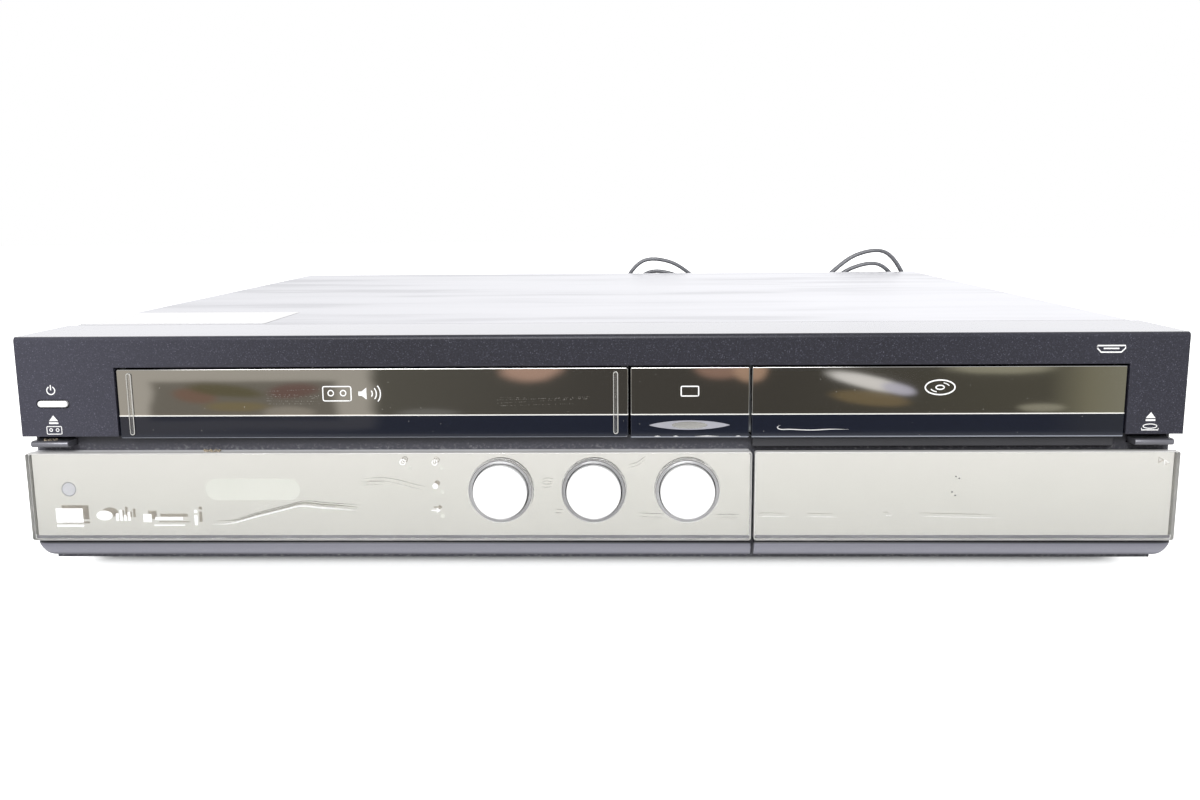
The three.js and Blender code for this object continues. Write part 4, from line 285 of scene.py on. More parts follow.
def clear_acrylic():
    """Cast acrylic sheet, polished: clear, with rub marks finer than a hair in its gloss."""
    finish, add, place = new_finish("clear_acrylic_sheet")
    rubs_at = add("VectorMath", [place, (0.05, 1.0, 1.2)], operation="MULTIPLY")
    rubs = add("TexNoise", {"Vector": rubs_at, "Scale": 1, "Detail": 6})
    shader = add("BsdfPrincipled", {
        "Base Color": linear("#fbfbf9"),
        "Roughness": add("MapRange", [rubs, 0.0, 1.0, 0.0, 0.012]),
        "IOR": 1.49,
        "Transmission Weight": 1.0,
    })
    add("OutputMaterial", [shader])
    return finish


def strip_lacquer():
    """Silver-grey lacquer on ABS: bright at its upper edge, falling to dark underneath."""
    finish, add, place = new_finish("dark_silver_lacquer")
    flakes = add("TexNoise", {"Vector": place, "Scale": 1 / 0.5, "Detail": 2})
    slow = add("TexNoise", {"Vector": place, "Scale": 1 / 50, "Detail": 3})
    tone = add("MapRange", [flakes, 0.0, 1.0, 0.3, 0.7])
    colour = add("ValToRGB", [tone], [(0.3, "#a9a9b0"), (0.7, "#b7b7be")])
    # The foot of the strip turns away from the light, and its top edge lies in the gap, from 12 to 18.3 mm up
    shade = add(
        "ValToRGB", [add("MapRange", [add("SeparateXYZ", [place]).outputs[2], 12.0, 18.4])],
        [(0.07, "#606067"), (0.16, "#a8a8af"), (0.3, "#d0d0d6"), (0.55, "#c0c0c6"), (0.78, "#a0a0a7"),
         (0.84, "#2c2c30")],
    )
    shader = add("BsdfPrincipled", {
        "Base Color": add("Mix", {0: 1.0, 6: colour, 7: shade}, data_type="RGBA", blend_type="MULTIPLY"),
        "Metallic": 0.35,
        "Roughness": add("MapRange", [slow, 0.0, 1.0, 0.3, 0.38]),
        "Coat Weight": 0.3,
        "Coat Roughness": 0.15,
    })
    add("OutputMaterial", [shader])
    return finish


def printed_board():
    """Glass epoxy board: green solder mask with tracks in relief, a chip's black, a can's sleeve."""
    finish, add, place = new_finish("green_solder_mask_board")
    z = add("SeparateXYZ", [place]).outputs[2]
    bricks = add("TexBrick", {"Vector": place, "Scale": 0.16, "Mortar Size": 0.05, "Brick Width": 2.2})
    tracks = bricks.outputs["Fac"]
    mask = add("ValToRGB", [tracks], [(0.0, "#1f5a37"), (1.0, "#2f7a4c")])
    # Above the board, at 26 mm, parts are dark epoxy, and tall cans and cooling fins are grey
    heights = add(
        "ValToRGB", [add("MapRange", [z, 20.0, 70.0])],
        [(0.0, "#1d1d20"), (0.2, "#26262a"), (0.36, "#7c7d80"), (1.0, "#9a9b9d")],
    )
    above = add("Math", [z, 25.8], operation="GREATER_THAN")
    shader = add("BsdfPrincipled", {
        "Base Color": add("Mix", {0: above, 6: mask, 7: heights}, data_type="RGBA"),
        "Roughness": 0.4,
        "Normal": add("Bump", {"Height": tracks, "Strength": 1, "Distance": 0.05 * MM}),
    })
    add("OutputMaterial", [shader])
    return finish


def screen_print(name, dark, light, back=None):
    """Opaque, matt, slightly uneven ink; on a clear sheet its back can have a colour of its own, which glows a
    little as a painted light.
    """
    finish, add, place = new_finish(name)
    coat = add("TexNoise", {"Vector": place, "Scale": 1 / 0.4, "Detail": 2})
    colour = add("ValToRGB", [coat], [(0.3, dark), (0.6, light)])
    shader = add("BsdfPrincipled", {"Base Color": colour, "Roughness": 0.5})
    if back:
        # The back of the ink glows a warm grey, a painted light, and the film mirrors it
        back = linear(back)
        behind = add("BsdfPrincipled", {
            "Base Color": back, "Roughness": 0.6, "Emission Color": back, "Emission Strength": 0.42,
        })
        shader = add("MixShader", [add("NewGeometry").outputs["Backfacing"], shader, behind])
    add("OutputMaterial", [shader])
    return finish


def coated_label():
    """A blank white label of coated paper, a little shiny at a low angle."""
    finish, add, place = new_finish("white_coated_paper")
    fibres = add("TexNoise", {"Vector": place, "Scale": 1 / 0.5, "Detail": 3})
    colour = add("ValToRGB", [fibres], [(0.3, "#d3d3d5"), (0.7, "#dededf")])
    paper = add("BsdfPrincipled", {"Base Color": colour, "Roughness": 0.55})
    add("OutputMaterial", [add_glare(add, paper, 1.0, 0.25, WHITE)])
    return finish


FINISHES = {}


def make_finishes():
    """Make every finish once, under the name that the pieces ask for."""
    FINISHES.update(
        cover=coated_steel(),
        fascia=flecked_abs(),
        neck=dusty_neck(),
        window=window_acrylic(),
        mirror=mirror_sheet(),
        acrylic=clear_acrylic(),
        strip=strip_lacquer(),
        board=printed_board(),
        paper=coated_label(),
        white_ink=screen_print("white_screen_print", "#e4e4e4", "#f6f6f6"),
        # On the clear sheet the ink's back glows warm grey as painted light, for the film to mirror
        panel_ink=screen_print("white_ink_with_glowing_back", "#ededed", "#f8f8f8", "#dcd5cf"),
        # Silver vacuum plating on ABS keys: bright, near white in a pale room
        plating=moulded("silver_plated_abs", "#f8f8f8", "#fefefe", 0.4, 0.001, (0.2, 0.28), Metallic=0.35),
        pale_key=moulded(
            "pale_silver_lacquer", "#eeeeef", "#f6f6f6", bump=0.0, rough=(0.25, 0.3), Metallic=0.25
        ),
        # Thin levers in grey metallic lacquer
        lever=moulded("grey_lacquered_abs", "#66666d", "#75757c", rough=(0.3, 0.38), coat=0.4, Metallic=0.5),
        # Window and panel edges, where polished acrylic gathers the room's light
        edge=moulded("polished_acrylic_edge", "#c9cac8", "#e0e0dd", bump=0.0, rough=(0.08, 0.14), Metallic=0.8),
        rib=moulded(
            "clear_acrylic_rib", "#e4e4e1", "#f2f2f0", bump=0.0, rough=(0.1, 0.14), Metallic=0.5, Alpha=0.1
        ),
        # The sawn edge of a clear sheet is pale and gathers light
        sheet_edge=moulded("sawn_acrylic_edge", "#cbcac9", "#dbdad8", bump=0.0, rough=(0.3, 0.4)),
        # Where the light runs along a polished edge it shows as a near white line
        glint=moulded("lit_acrylic_edge", "#b4b3af", "#c6c5c1", bump=0.0, rough=(0.2, 0.3)),
        collar=moulded("satin_silver_collar", "#b0b0b1", "#c6c6c7", bump=0.0, rough=(0.16, 0.24), Metallic=0.6),
        crumbs=moulded("house_dust", "#8d8172", "#b4a893", 0.3, 0.05, (0.8, 0.9)),
        carrier=moulded("white_panel_carrier", "#ececee", "#f6f6f8", rough=(0.35, 0.5)),
        ledge=moulded("grey_panel_ledge", "#8b8b93", "#9b9ba3", rough=(0.35, 0.5), Metallic=0.2),
        sill=moulded("dark_abs_sill", "#2b2b2f", "#36363b", 0.6, 0.02, (0.45, 0.6)),
        black=moulded("black_abs_moulding", "#1c1c1e", "#252527", 0.6),
        gloss=moulded("black_gloss_moulding", "#16161a", "#1e1e23", bump=0.002, rough=(0.1, 0.16), coat=0.5),
        grey=moulded("grey_abs_moulding", "#77797c", "#84868a", 0.6, 0.02),
        rubber=moulded("black_rubber", "#151515", "#222222", 0.8, 0.05, (0.6, 0.78), 12),
        # Soft PVC sheath: smooth, half gloss, a little dusty
        sheath=moulded("pvc_sheath", "#5b5c61", "#6f7075", 0.5, 0.01, (0.3, 0.42), 14),
        tie=moulded("pvc_twist_tie", "#262627", "#303032", rough=(0.4, 0.5), patch=6),
        zinc=brushed("zinc_plated_steel", "#8c9092", "#b4b8ba", "x"),
        nickel=brushed("nickel_plated_brass", "#7d7e7a", "#a3a49f", "y", (0.2, 0.3)),
        gold=brushed("gold_plated_contact", "#b08a3c", "#d8b566", "y", (0.18, 0.26)),
        turned=brushed("turned_aluminium", "#b5b7b9", "#dadcdd", "x", (0.16, 0.26)),
        cast=moulded("die_cast_aluminium", "#9b9d9f", "#b6b8ba", 0.9, 0.04, (0.32, 0.46), Metallic=1.0),
        lens=moulded("sensor_window", "#d9dae4", "#e3e4ec", bump=0.0, rough=(0.15, 0.22), patch=3, coat=0.5),
        pill=moulded("frosted_window_film", "#f0f2ec", "#f7f7f3", bump=0.0, rough=(0.2, 0.26), Metallic=0.9),
        red=moulded("red_polyethylene", "#b3262a", "#c23034", rough=(0.3, 0.4)),
        white=moulded("white_polyethylene", "#dcdcd8", "#ecece8", rough=(0.3, 0.4)),
        yellow=moulded("yellow_polyethylene", "#d8ae1e", "#e6bf33", rough=(0.3, 0.4)),
        scratch=moulded("scratch_in_acrylic", "#fafaf9", "#ffffff", bump=0.0, rough=(0.25, 0.35), Metallic=1.0),
        # Grey and half clear: real scuffs, and the painted shadow beside the panel's scratch
        scuff=moulded(
            "scuff_and_painted_shadow", "#a9a5a0", "#bab6b1", bump=0.0, rough=(0.3, 0.4), Metallic=0.8, Alpha=0.6
        ),
        # Near black painted shade in hollows: the collars' bores and the film's pinholes
        deep=moulded("painted_hollow_shade", "#0d0d0e", "#151517", rough=(0.6, 0.8)),
    )


# Mesh making

def link_piece(name, mesh, finish, body, replaces=()):
    """Put a finished mesh in the scene, on its body, with its finish or finishes."""
    piece = bpy.data.objects.new(name, mesh)
    bpy.context.scene.collection.objects.link(piece)
    for one in [finish] if isinstance(finish, str) else finish:
        mesh.materials.append(FINISHES[one])
    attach(piece, body)
    if replaces:
        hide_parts(*replaces)
    return piece


def evaluated_mesh(holder, name):
    """Return a plain mesh of what an object's modifiers or curve make."""
    shape = bpy.context.evaluated_depsgraph_get()
    mesh = bpy.data.meshes.new_from_object(holder.evaluated_get(shape))
    mesh.name = name
    return mesh


def clean_mesh(mesh, reach):
    """Merge points closer than the reach, in metres, and turn all faces outwards."""
    work = bmesh.new()
    work.from_mesh(mesh)
    bmesh.ops.remove_doubles(work, verts=work.verts, dist=reach)
    bmesh.ops.recalc_face_normals(work, faces=work.faces)
    work.to_mesh(mesh)
    work.free()


def smooth_mesh(mesh, angle=35):
    """Smooth the rounded faces, and keep flat those that lie square to an axis."""
    mesh.shade_smooth()
    mesh.set_sharp_from_angle(angle=math.radians(angle))
    for face in mesh.polygons:
        if max(abs(c) for c in face.normal) > 0.99999:
            face.use_smooth = False
    mesh.update()


def build_mesh(name, shape, angle=35, clean=True):
    """Make a smooth mesh from a shape: its points in millimetres and their faces."""
    points, faces = shape
    mesh = bpy.data.meshes.new(name)
    mesh.from_pydata([Vector(p) * MM for p in points], [], faces)
    if clean:
        clean_mesh(mesh, 1e-7)
    smooth_mesh(mesh, angle)
    return mesh


def rounded_outline(x0, x1, z0, z1, radius, steps=8):
    """Return the points of a rectangle with rounded corners, in millimetres."""
    points = []
    corners = [(x1 - radius, z0 + radius, -90), (x1 - radius, z1 - radius, 0)]
    corners += [(x0 + radius, z1 - radius, 90), (x0 + radius, z0 + radius, 180)]
    for x, z, start in corners:
        points += arc_points(x, z, radius, start, start + 90, steps)
    return points


def arc_points(x, z, radius, start, end, steps=24, squash=1.0):
    """Return points on an arc, its angles in degrees from the right."""
    turns = [math.radians(start + (end - start) * i / steps) for i in range(steps + 1)]
    return [(x + radius * math.cos(t), z + radius * squash * math.sin(t)) for t in turns]


def round_outline(x, z, radius, steps=96, squash=1.0):
    """Return the points of a circle or an upright ellipse."""
    return arc_points(x, z, radius, 0, 360, steps, squash)[:-1]


def plate_mesh(name, outlines, y0, y1, bevel=0.0, rings=4, axis="y"):
    """Make a flat plate with holes from outlines across one axis, its edges rounded by the bevel."""
    drawing = bpy.data.curves.new(name, "CURVE")
    drawing.dimensions = "2D"
    drawing.fill_mode = "BOTH"
    for outline in outlines:
        line = drawing.splines.new("POLY")
        line.points.add(len(outline) - 1)
        for point, (a, b) in zip(line.points, outline):
            point.co = (a * MM, b * MM, 0, 1)
        line.use_cyclic_u = True
    drawing.extrude = max((y1 - y0) / 2 - bevel, 0) * MM
    drawing.bevel_depth = bevel * MM
    drawing.bevel_resolution = rings
    drawing.offset = -bevel * MM
    holder = bpy.data.objects.new(name, drawing)
    bpy.context.scene.collection.objects.link(holder)
    mesh = evaluated_mesh(holder, name)
    bpy.data.objects.remove(holder)
    bpy.data.curves.remove(drawing)
    middle = (y0 + y1) / 2 * MM
    if axis == "y":
        mesh.transform(Matrix.Translation((0, middle, 0)) @ Matrix.Rotation(math.pi / 2, 4, "X"))
    else:
        mesh.transform(Matrix.Translation((0, 0, middle)))
    clean_mesh(mesh, 2e-7)
    smooth_mesh(mesh, 50)
    return mesh


def plate_piece(name, body, finish, outlines, y0, y1, *bevel, axis="y", slot=None, replaces=()):
    """Make a plate and put it on its body."""
    return link_piece(name, plate_mesh(name, outlines, y0, y1, *bevel, axis=axis), finish, body, replaces)


def loft(rings, ends=(True, True)):
    """Join rings of as many points each into a skin, closed by a face at either end."""
    count = len(rings[0])
    points = [point for ring in rings for point in ring]
    faces = []
    for a in range(0, len(points) - count, count):
        b = a + count
        faces += [(a + k, a + (k + 1) % count, b + (k + 1) % count, b + k) for k in range(count)]
    caps = (tuple(range(count)), tuple(range(len(points) - count, len(points))))
    return points, faces + [cap for cap, wanted in zip(caps, ends) if wanted]


def lathe(profile, centre, axis="y", steps=96, capped=True):
    """Turn a profile of (distance along the axis, radius) about an axis through a centre."""
    rings = []
    for along, radius in profile:
        ring = []
        for i in range(steps):
            turn = 2 * math.pi * i / steps
            a, b = radius * math.cos(turn), radius * math.sin(turn)
            local = {"x": (along, a, b), "y": (a, along, b), "z": (a, b, along)}[axis]
            ring.append(tuple(c + o for c, o in zip(centre, local)))
        rings.append(ring)
    return loft(rings, [capped and radius > 1e-6 for radius in (profile[0][1], profile[-1][1])])


def box(x0, x1, y0, y1, z0, z1):
    """Return the corners and faces of a box."""
    points = [(x, y, z) for x in (x0, x1) for y in (y0, y1) for z in (z0, z1)]
    faces = [(0, 1, 3, 2), (4, 6, 7, 5), (0, 4, 5, 1), (2, 3, 7, 6), (0, 2, 6, 4), (1, 5, 7, 3)]
    return points, faces


def gather(shapes):
    """Put several shapes into one."""
    points, faces = [], []
    for some_points, some_faces in shapes:
        start = len(points)
        points += some_points
        faces += [tuple(start + i for i in face) for face in some_faces]
    return points, faces


def softened(name, node, finish, body, width, segments, angle, dissolve=True):
    """Copy a CAD node, merge its loose triangles, and round its sharp edges a little."""
    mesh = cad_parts[node].data.copy()
    mesh.materials.clear()
    work = bmesh.new()
    work.from_mesh(mesh)
    bmesh.ops.remove_doubles(work, verts=work.verts, dist=2e-6)
    if dissolve:
        bmesh.ops.dissolve_limit(
            work, angle_limit=math.radians(1.5), verts=work.verts, edges=work.edges,
            use_dissolve_boundaries=False,
        )
    work.to_mesh(mesh)
    work.free()
    piece = link_piece(name, mesh, finish, body, [node])
    bevel = piece.modifiers.new("edges", "BEVEL")
    bevel.width = width * MM
    bevel.segments = segments
    bevel.limit_method = "ANGLE"
    bevel.angle_limit = math.radians(angle)
    bevel.harden_normals = False
    bevel.miter_outer = "MITER_ARC"
    done = evaluated_mesh(piece, name)
    piece.modifiers.clear()
    piece.data = done
    bpy.data.meshes.remove(mesh)
    smooth_mesh(done, 40)
    return piece


def smooth_line(points, parts=6):
    """Pass a centripetal Catmull-Rom curve through points of two or three numbers."""
    points = [Vector(p) for p in points]
    ends = [2 * points[0] - points[1], *points, 2 * points[-1] - points[-2]]
    line = []
    for i in range(1, len(ends) - 2):
        a, b, c, d = ends[i - 1 : i + 3]
        t1 = max((b - a).length ** 0.5, 1e-6)
        t2 = t1 + max((c - b).length ** 0.5, 1e-6)
        t3 = t2 + max((d - c).length ** 0.5, 1e-6)
        for k in range(parts):
            t = t1 + (t2 - t1) * k / parts
            p = (t1 - t) / t1 * a + t / t1 * b
            q = (t2 - t) / (t2 - t1) * b + (t - t1) / (t2 - t1) * c
            r = (t3 - t) / (t3 - t2) * c + (t - t2) / (t3 - t2) * d
            u = (t2 - t) / t2 * p + t / t2 * q
            v = (t3 - t) / (t3 - t1) * q + (t - t1) / (t3 - t1) * r
            line.append((t2 - t) / (t2 - t1) * u + (t - t1) / (t2 - t1) * v)
    line.append(points[-1])
    return line


# Sizes that a user would change

class StudioSizes(bpy.types.PropertyGroup):
    """Camera and light of the studio."""

    camera_place: FloatVectorProperty(
        name="Camera place", description="Where the camera stands", subtype="TRANSLATION", unit="LENGTH",
        default=(0.0125, -0.594, 0.142),
    )
    camera_yaw: FloatProperty(
        name="Camera yaw", description="Turn to the left", subtype="ANGLE", default=math.radians(-1.495)
    )
    camera_pitch: FloatProperty(
        name="Camera pitch", description="Tilt down", subtype="ANGLE", default=math.radians(9.84)
    )
    camera_roll: FloatProperty(
        name="Camera roll", description="Roll about the view", subtype="ANGLE", default=math.radians(-0.445)
    )
    lens: FloatProperty(name="Lens", description="Focal length on a 36 mm frame, in mm", default=33.24)
    sky: FloatProperty(name="Sky", description="Strength of the even light", default=0.5)
    sun: FloatProperty(name="Sun", description="Strength of the soft lamp from the front", default=2.7)


class LeadSizes(bpy.types.PropertyGroup):
    """The flat twin mains lead."""

    width: FloatProperty(name="Width", description="Across both cores", unit="LENGTH", default=0.0048)
    thickness: FloatProperty(name="Thickness", description="Through one core", unit="LENGTH", default=0.0028)


class CaseSizes(bpy.types.PropertyGroup):
    """Edges and marks of the case."""

    edge: FloatProperty(name="Edge", description="Rounding of moulded edges", unit="LENGTH", default=0.0003)
    label: FloatVectorProperty(
        name="Label", description="Blank label on the cover, width and depth", size=2, unit="LENGTH",
        default=(0.084, 0.05),
    )


class FrontSizes(bpy.types.PropertyGroup):
    """Mirror pieces, panels and keys."""

    acrylic: FloatProperty(
        name="Acrylic", description="Thickness of the clear panels", unit="LENGTH", default=0.0036
    )
    key_steps: IntProperty(name="Key sides", description="Sides of the round keys", default=96)


class InsideSizes(bpy.types.PropertyGroup):
    """Pieces inside and at the back."""

    screw: FloatProperty(name="Screw", description="Radius of a screw's head", unit="LENGTH", default=0.0028)
    thread_turns: IntProperty(name="Thread turns", description="Turns on an aerial socket", default=8)


# Studio

# How far the warp bends a shape's edge, and from where to where the shape fades out
SOFT = (0.55, 1.5, 0.95)
CRISP = (0.16, 1.15, 1.01)
# What the windows mirror: place on the window and half sizes in mm, colour, turn in degrees, edge
ROOM_SHAPES = (
    (-133, 75.0, 51, 14.0, "#a19b92", 0, CRISP), (-130.7, 71.8, 35.0, 7.4, "#625d55", 0, CRISP),
    (-149, 73.6, 9, 2.8, "#735b4e", -8, SOFT), (-137, 75.6, 15, 2.4, "#59533d", -6, SOFT),
    (-134, 69.6, 13, 2.0, "#75694d", 0, SOFT), (-112, 75.4, 10, 2.8, "#664f49", 4, SOFT),
    (-114, 67.4, 10, 2.2, "#8d867c", 0, SOFT), (-62, 67.0, 12, 1.6, "#6c6a66", 0, SOFT),
    (-23, 84.8, 12, 6.4, "#ab8c7c", 0, SOFT), (47, 84.4, 10, 4.8, "#8d7163", 0, SOFT),
    (57.5, 82.6, 6.5, 4.6, "#a68873", 0, SOFT), (148, 83.4, 20, 2.6, "#8f8b79", 0, SOFT),
    (101, 72.0, 14, 2.7, "#6f6148", -6, SOFT), (99, 78.4, 15, 2.5, "#dad6d2", -13, SOFT),
    (111.5, 75.4, 6.5, 1.9, "#b1aebb", -12, SOFT), (164, 68.3, 9, 1.5, "#8d8979", 0, SOFT),
)


def seen_rays(add):
    """Return 1 for rays that the camera sends, also through glass or by way of a mirror."""
    path = add("LightPath").outputs
    either = add("Math", [path["Is Camera Ray"], path["Is Glossy Ray"]], operation="MAXIMUM")
    return add("Math", [either, path["Is Transmission Ray"]], operation="MAXIMUM")


def stage_box(name, finish, *sides):
    """Add a box that belongs to the studio and not to the recorder."""
    mesh = build_mesh(name, box(*sides))
    piece = bpy.data.objects.new(name, mesh)
    mesh.materials.append(finish)
    bpy.context.scene.collection.objects.link(piece)
    return piece


class RECORDER_OT_studio(bpy.types.Operator):
    """Add the camera, the soft light, the pale floor and what the windows reflect"""

    bl_idname = "recorder.studio"
    bl_label = "Studio"

    def execute(self, context):
        sizes = context.scene.recorder_studio
        self.add_camera(context.scene, sizes)
        self.add_light(context.scene, sizes)
        self.add_floor()
        self.add_room(Vector(sizes.camera_place) / MM)
        return {"FINISHED"}

    def add_camera(self, scene, sizes):
        yaw, pitch, roll = sizes.camera_yaw, sizes.camera_pitch, sizes.camera_roll
        ahead = Vector((math.sin(yaw) * math.cos(pitch), math.cos(yaw) * math.cos(pitch), -math.sin(pitch)))
        level = Vector((math.cos(yaw), -math.sin(yaw), 0))
        upright = level.cross(ahead)
        right = level * math.cos(roll) + upright * math.sin(roll)
        up = upright * math.cos(roll) - level * math.sin(roll)
        camera = bpy.data.cameras.new("camera")
        camera.lens = sizes.lens
        camera.sensor_width = 36
        camera.sensor_fit = "HORIZONTAL"
        camera.clip_start = 0.01
        holder = bpy.data.objects.new("camera", camera)
        turned = Matrix((right, up, -ahead)).transposed().to_4x4()
        holder.matrix_world = Matrix.Translation(sizes.camera_place) @ turned
        scene.collection.objects.link(holder)
        scene.camera = holder

    def add_light(self, scene, sizes):
        world = bpy.data.worlds.new("pale_studio")
        world.use_nodes = True
        world.node_tree.nodes.clear()
        add = functools.partial(add_node, world.node_tree)
        even = add("Background", [WHITE, sizes.sky])
        add("OutputWorld", [add("MixShader", [seen_rays(add), even, add("Background", [WHITE, 1.0])])])
        scene.world = world
        scene.view_settings.view_transform = "Standard"
        sun = bpy.data.lights.new("soft_lamp", "SUN")
        sun.energy = sizes.sun
        sun.angle = math.radians(36)
        lamp = bpy.data.objects.new("soft_lamp", sun)
        lamp.rotation_euler = (math.radians(57), 0, math.radians(-8))
        scene.collection.objects.link(lamp)

    def add_floor(self):
        finish, add, place = new_finish("pale_floor")
        # Away from under the case the floor is burnt out, as in the photograph
        local = add("VectorMath", [place, (0, 18.0, 0)], operation="SUBTRACT")
        size = add("VectorMath", [local], operation="ABSOLUTE")
        past = add("VectorMath", [size, (202, 170.0, 9)], operation="SUBTRACT")
        out = add("VectorMath", [past, (0, 0, 0)], operation="MAXIMUM")
        away = add("VectorMath", [out], operation="LENGTH")
        burnt = add("MapRange", [away, 0.0, 13.0, 0.03, 0.75], interpolation_type="SMOOTHSTEP")
        # Mirrors see it as it is lit, with a little more
        camera = add("LightPath").outputs["Is Camera Ray"]
        level = add("Mix", {0: camera, 2: 0.08, 3: burnt}, data_type="FLOAT")
        glow = add("Emission", [WHITE, add("Math", [seen_rays(add), level], operation="MULTIPLY")])
        add("OutputMaterial", [add("AddShader", [add("BsdfDiffuse", [linear("#fafafa")]), glow])])
        stage_box("pale_floor", finish, -4000, 4000, -4000, 4000, -20, 0)

    def add_room(self, eye):
        """Add the dim room in front of the windows, seen in reflections alone."""
        finish, add, place = new_finish("dim_room_in_front")
        x, y, _ = add("SeparateXYZ", [place]).outputs
        # The place on the windows where the camera sees each place of the card mirrored, in mm
        plane = node_box("centre_window")[0].y
        reach = plane - eye.y
        stretch = add("Math", [y, -1 / reach, 1 + plane / reach], operation="MULTIPLY_ADD")
        shrink = add("Math", [1.0, stretch], operation="DIVIDE")
        aside = add("Math", [x, eye.x], operation="SUBTRACT")
        seen_x = add("Math", [aside, shrink, eye.x], operation="MULTIPLY_ADD")
        seen_z = add("Math", [shrink, -eye.z, eye.z], operation="MULTIPLY_ADD")
        seen_at = add("CombineXYZ", [seen_x, seen_z])
        # From left to right the room is grey, then dark, then olive grey
        shade = add(
            "ValToRGB", [add("MapRange", [seen_x, -HALF_FRONT, HALF_FRONT])],
            [(0.1, "#a19b92"), (0.3, "#55524b"), (0.5, "#423f3b"), (0.66, "#403d38"), (0.885, "#4b483f"),
             (0.92, "#716d5c"), (0.95, "#7a7768")],
        )
        warp_at = add("VectorMath", [seen_at, (0.04, 0.09, 1)], operation="MULTIPLY")
        warp = add("TexNoise", {"Vector": warp_at, "Scale": 1, "Detail": 3})
        for x, z, wide, tall, colour, turn, (bend, outside, inside) in ROOM_SHAPES:
            local = add("VectorMath", [seen_at, (x, z, 0)], operation="SUBTRACT")
            turned = add(
                "VectorRotate", {"Vector": local, "Angle": math.radians(-turn)}, rotation_type="Z_AXIS"
            )
            even = add("VectorMath", [turned, (1 / wide, 1 / tall, 0)], operation="MULTIPLY")
            if bend == CRISP[0]:
                sides = add("SeparateXYZ", [add("VectorMath", [even], operation="ABSOLUTE")]).outputs
                away = add("Math", [sides[0], sides[1]], operation="MAXIMUM")
            else:
                away = add("VectorMath", [even], operation="LENGTH")
            bent = add("Math", [warp, bend, away], operation="MULTIPLY_ADD")
            share = add("MapRange", [bent, outside, inside, 0.0, 0.9], interpolation_type="SMOOTHSTEP")
            shade = add("Mix", {0: share, 6: shade, 7: linear(colour)}, data_type="RGBA")
        # The smoked mirror sends back about 0.4 of it
        add("OutputMaterial", [add("Emission", [shade, 2.4])])
        card = stage_box("dim_room", finish, -620, 620, -860, -478, 0.5, 0.9)
        for rays in ("camera", "diffuse", "shadow", "transmission"):
            setattr(card, "visible_" + rays, False)


# The mains lead

# The route's points are in metres: the run along the floor, the folded hank, the tail to the plug
RUN = (
    (-0.15, 0.2126, 0.03), (-0.15, 0.219, 0.03), (-0.149, 0.227, 0.0284), (-0.1435, 0.2345, 0.0235),
    (-0.133, 0.2385, 0.016), (-0.12, 0.2375, 0.009), (-0.107, 0.232, 0.0042), (-0.094, 0.224, 0.0021),
    (-0.08, 0.215, 0.0017), (-0.065, 0.207, 0.0017), (-0.048, 0.202, 0.0017), (-0.028, 0.2006, 0.0018),
    (-0.006, 0.2005, 0.0022), (0.01, 0.2005, 0.0027),
)
# The tail: across from the hank's end, depth, share of the height of the hank's end
TAIL = (
    (0.0001, 0.2066, 0.829), (0.0011, 0.2072, 0.641), (0.0045, 0.2085, 0.452), (0.0114, 0.2103, 0.283),
    (0.0219, 0.2122, 0.143), (0.0349, 0.2138, 0.064), (0.0499, 0.2147, 0.036), (0.0659, 0.215, 0.032),
    (0.0799, 0.215, 0.032),
)
HANK = {"x": 0.1079, "y": 0.2005, "z": 0.0582, "reach": 0.1015, "step": 0.00444, "corner": 0.06}
HANK_HEIGHTS = {"waist": 0.009, "waist_step": 0.0047, "lobe": 0.1331, "lobe_step": 0.0166, "skew": 0.03}
HANK_START = 218
LEAD_GAP = 0.0003


def hank_point(degrees):
    """Return the hank's middle line at a turn, in metres."""
    turn = math.radians(degrees)
    n = (degrees - HANK_START) / 360
    c, s = math.cos(turn), math.sin(turn)
    reach = HANK["reach"] - HANK["step"] * n
    waist = HANK_HEIGHTS["waist"] - HANK_HEIGHTS["waist_step"] * n
    lobe = HANK_HEIGHTS["lobe"] - HANK_HEIGHTS["lobe_step"] * n
    late = min(max((degrees - 800) / 100, 0), 1)
    late = late * late * (3 - 2 * late)
    return Vector((
        HANK["x"] + reach * (c + HANK["corner"] * math.cos(3 * turn)),
        HANK["y"] + 0.006 * late,
        HANK["z"] + s * (waist + lobe * c * c * (1 + HANK_HEIGHTS["skew"] * c)),
    ))


def lead_route(width):
    """Return the whole middle line of the lead, in metres."""
    hank = [hank_point(t) for t in (HANK_START, *range(225, 901, 15))]
    first = Vector((hank[0].x - width - LEAD_GAP, hank[0].y, hank[0].z))
    last = Vector((hank[-1].x, hank[-1].y, hank[-1].z - width - LEAD_GAP))
    tail = [Vector((last.x + x, y, last.z * share)) for x, y, share in TAIL]
    return smooth_line([*RUN, first, *hank, last, *tail])


def powered(value, power):
    """Raise a cosine or sine to a power and keep its sign, which squares a circle's corners."""
    return math.copysign(abs(value) ** power, value)


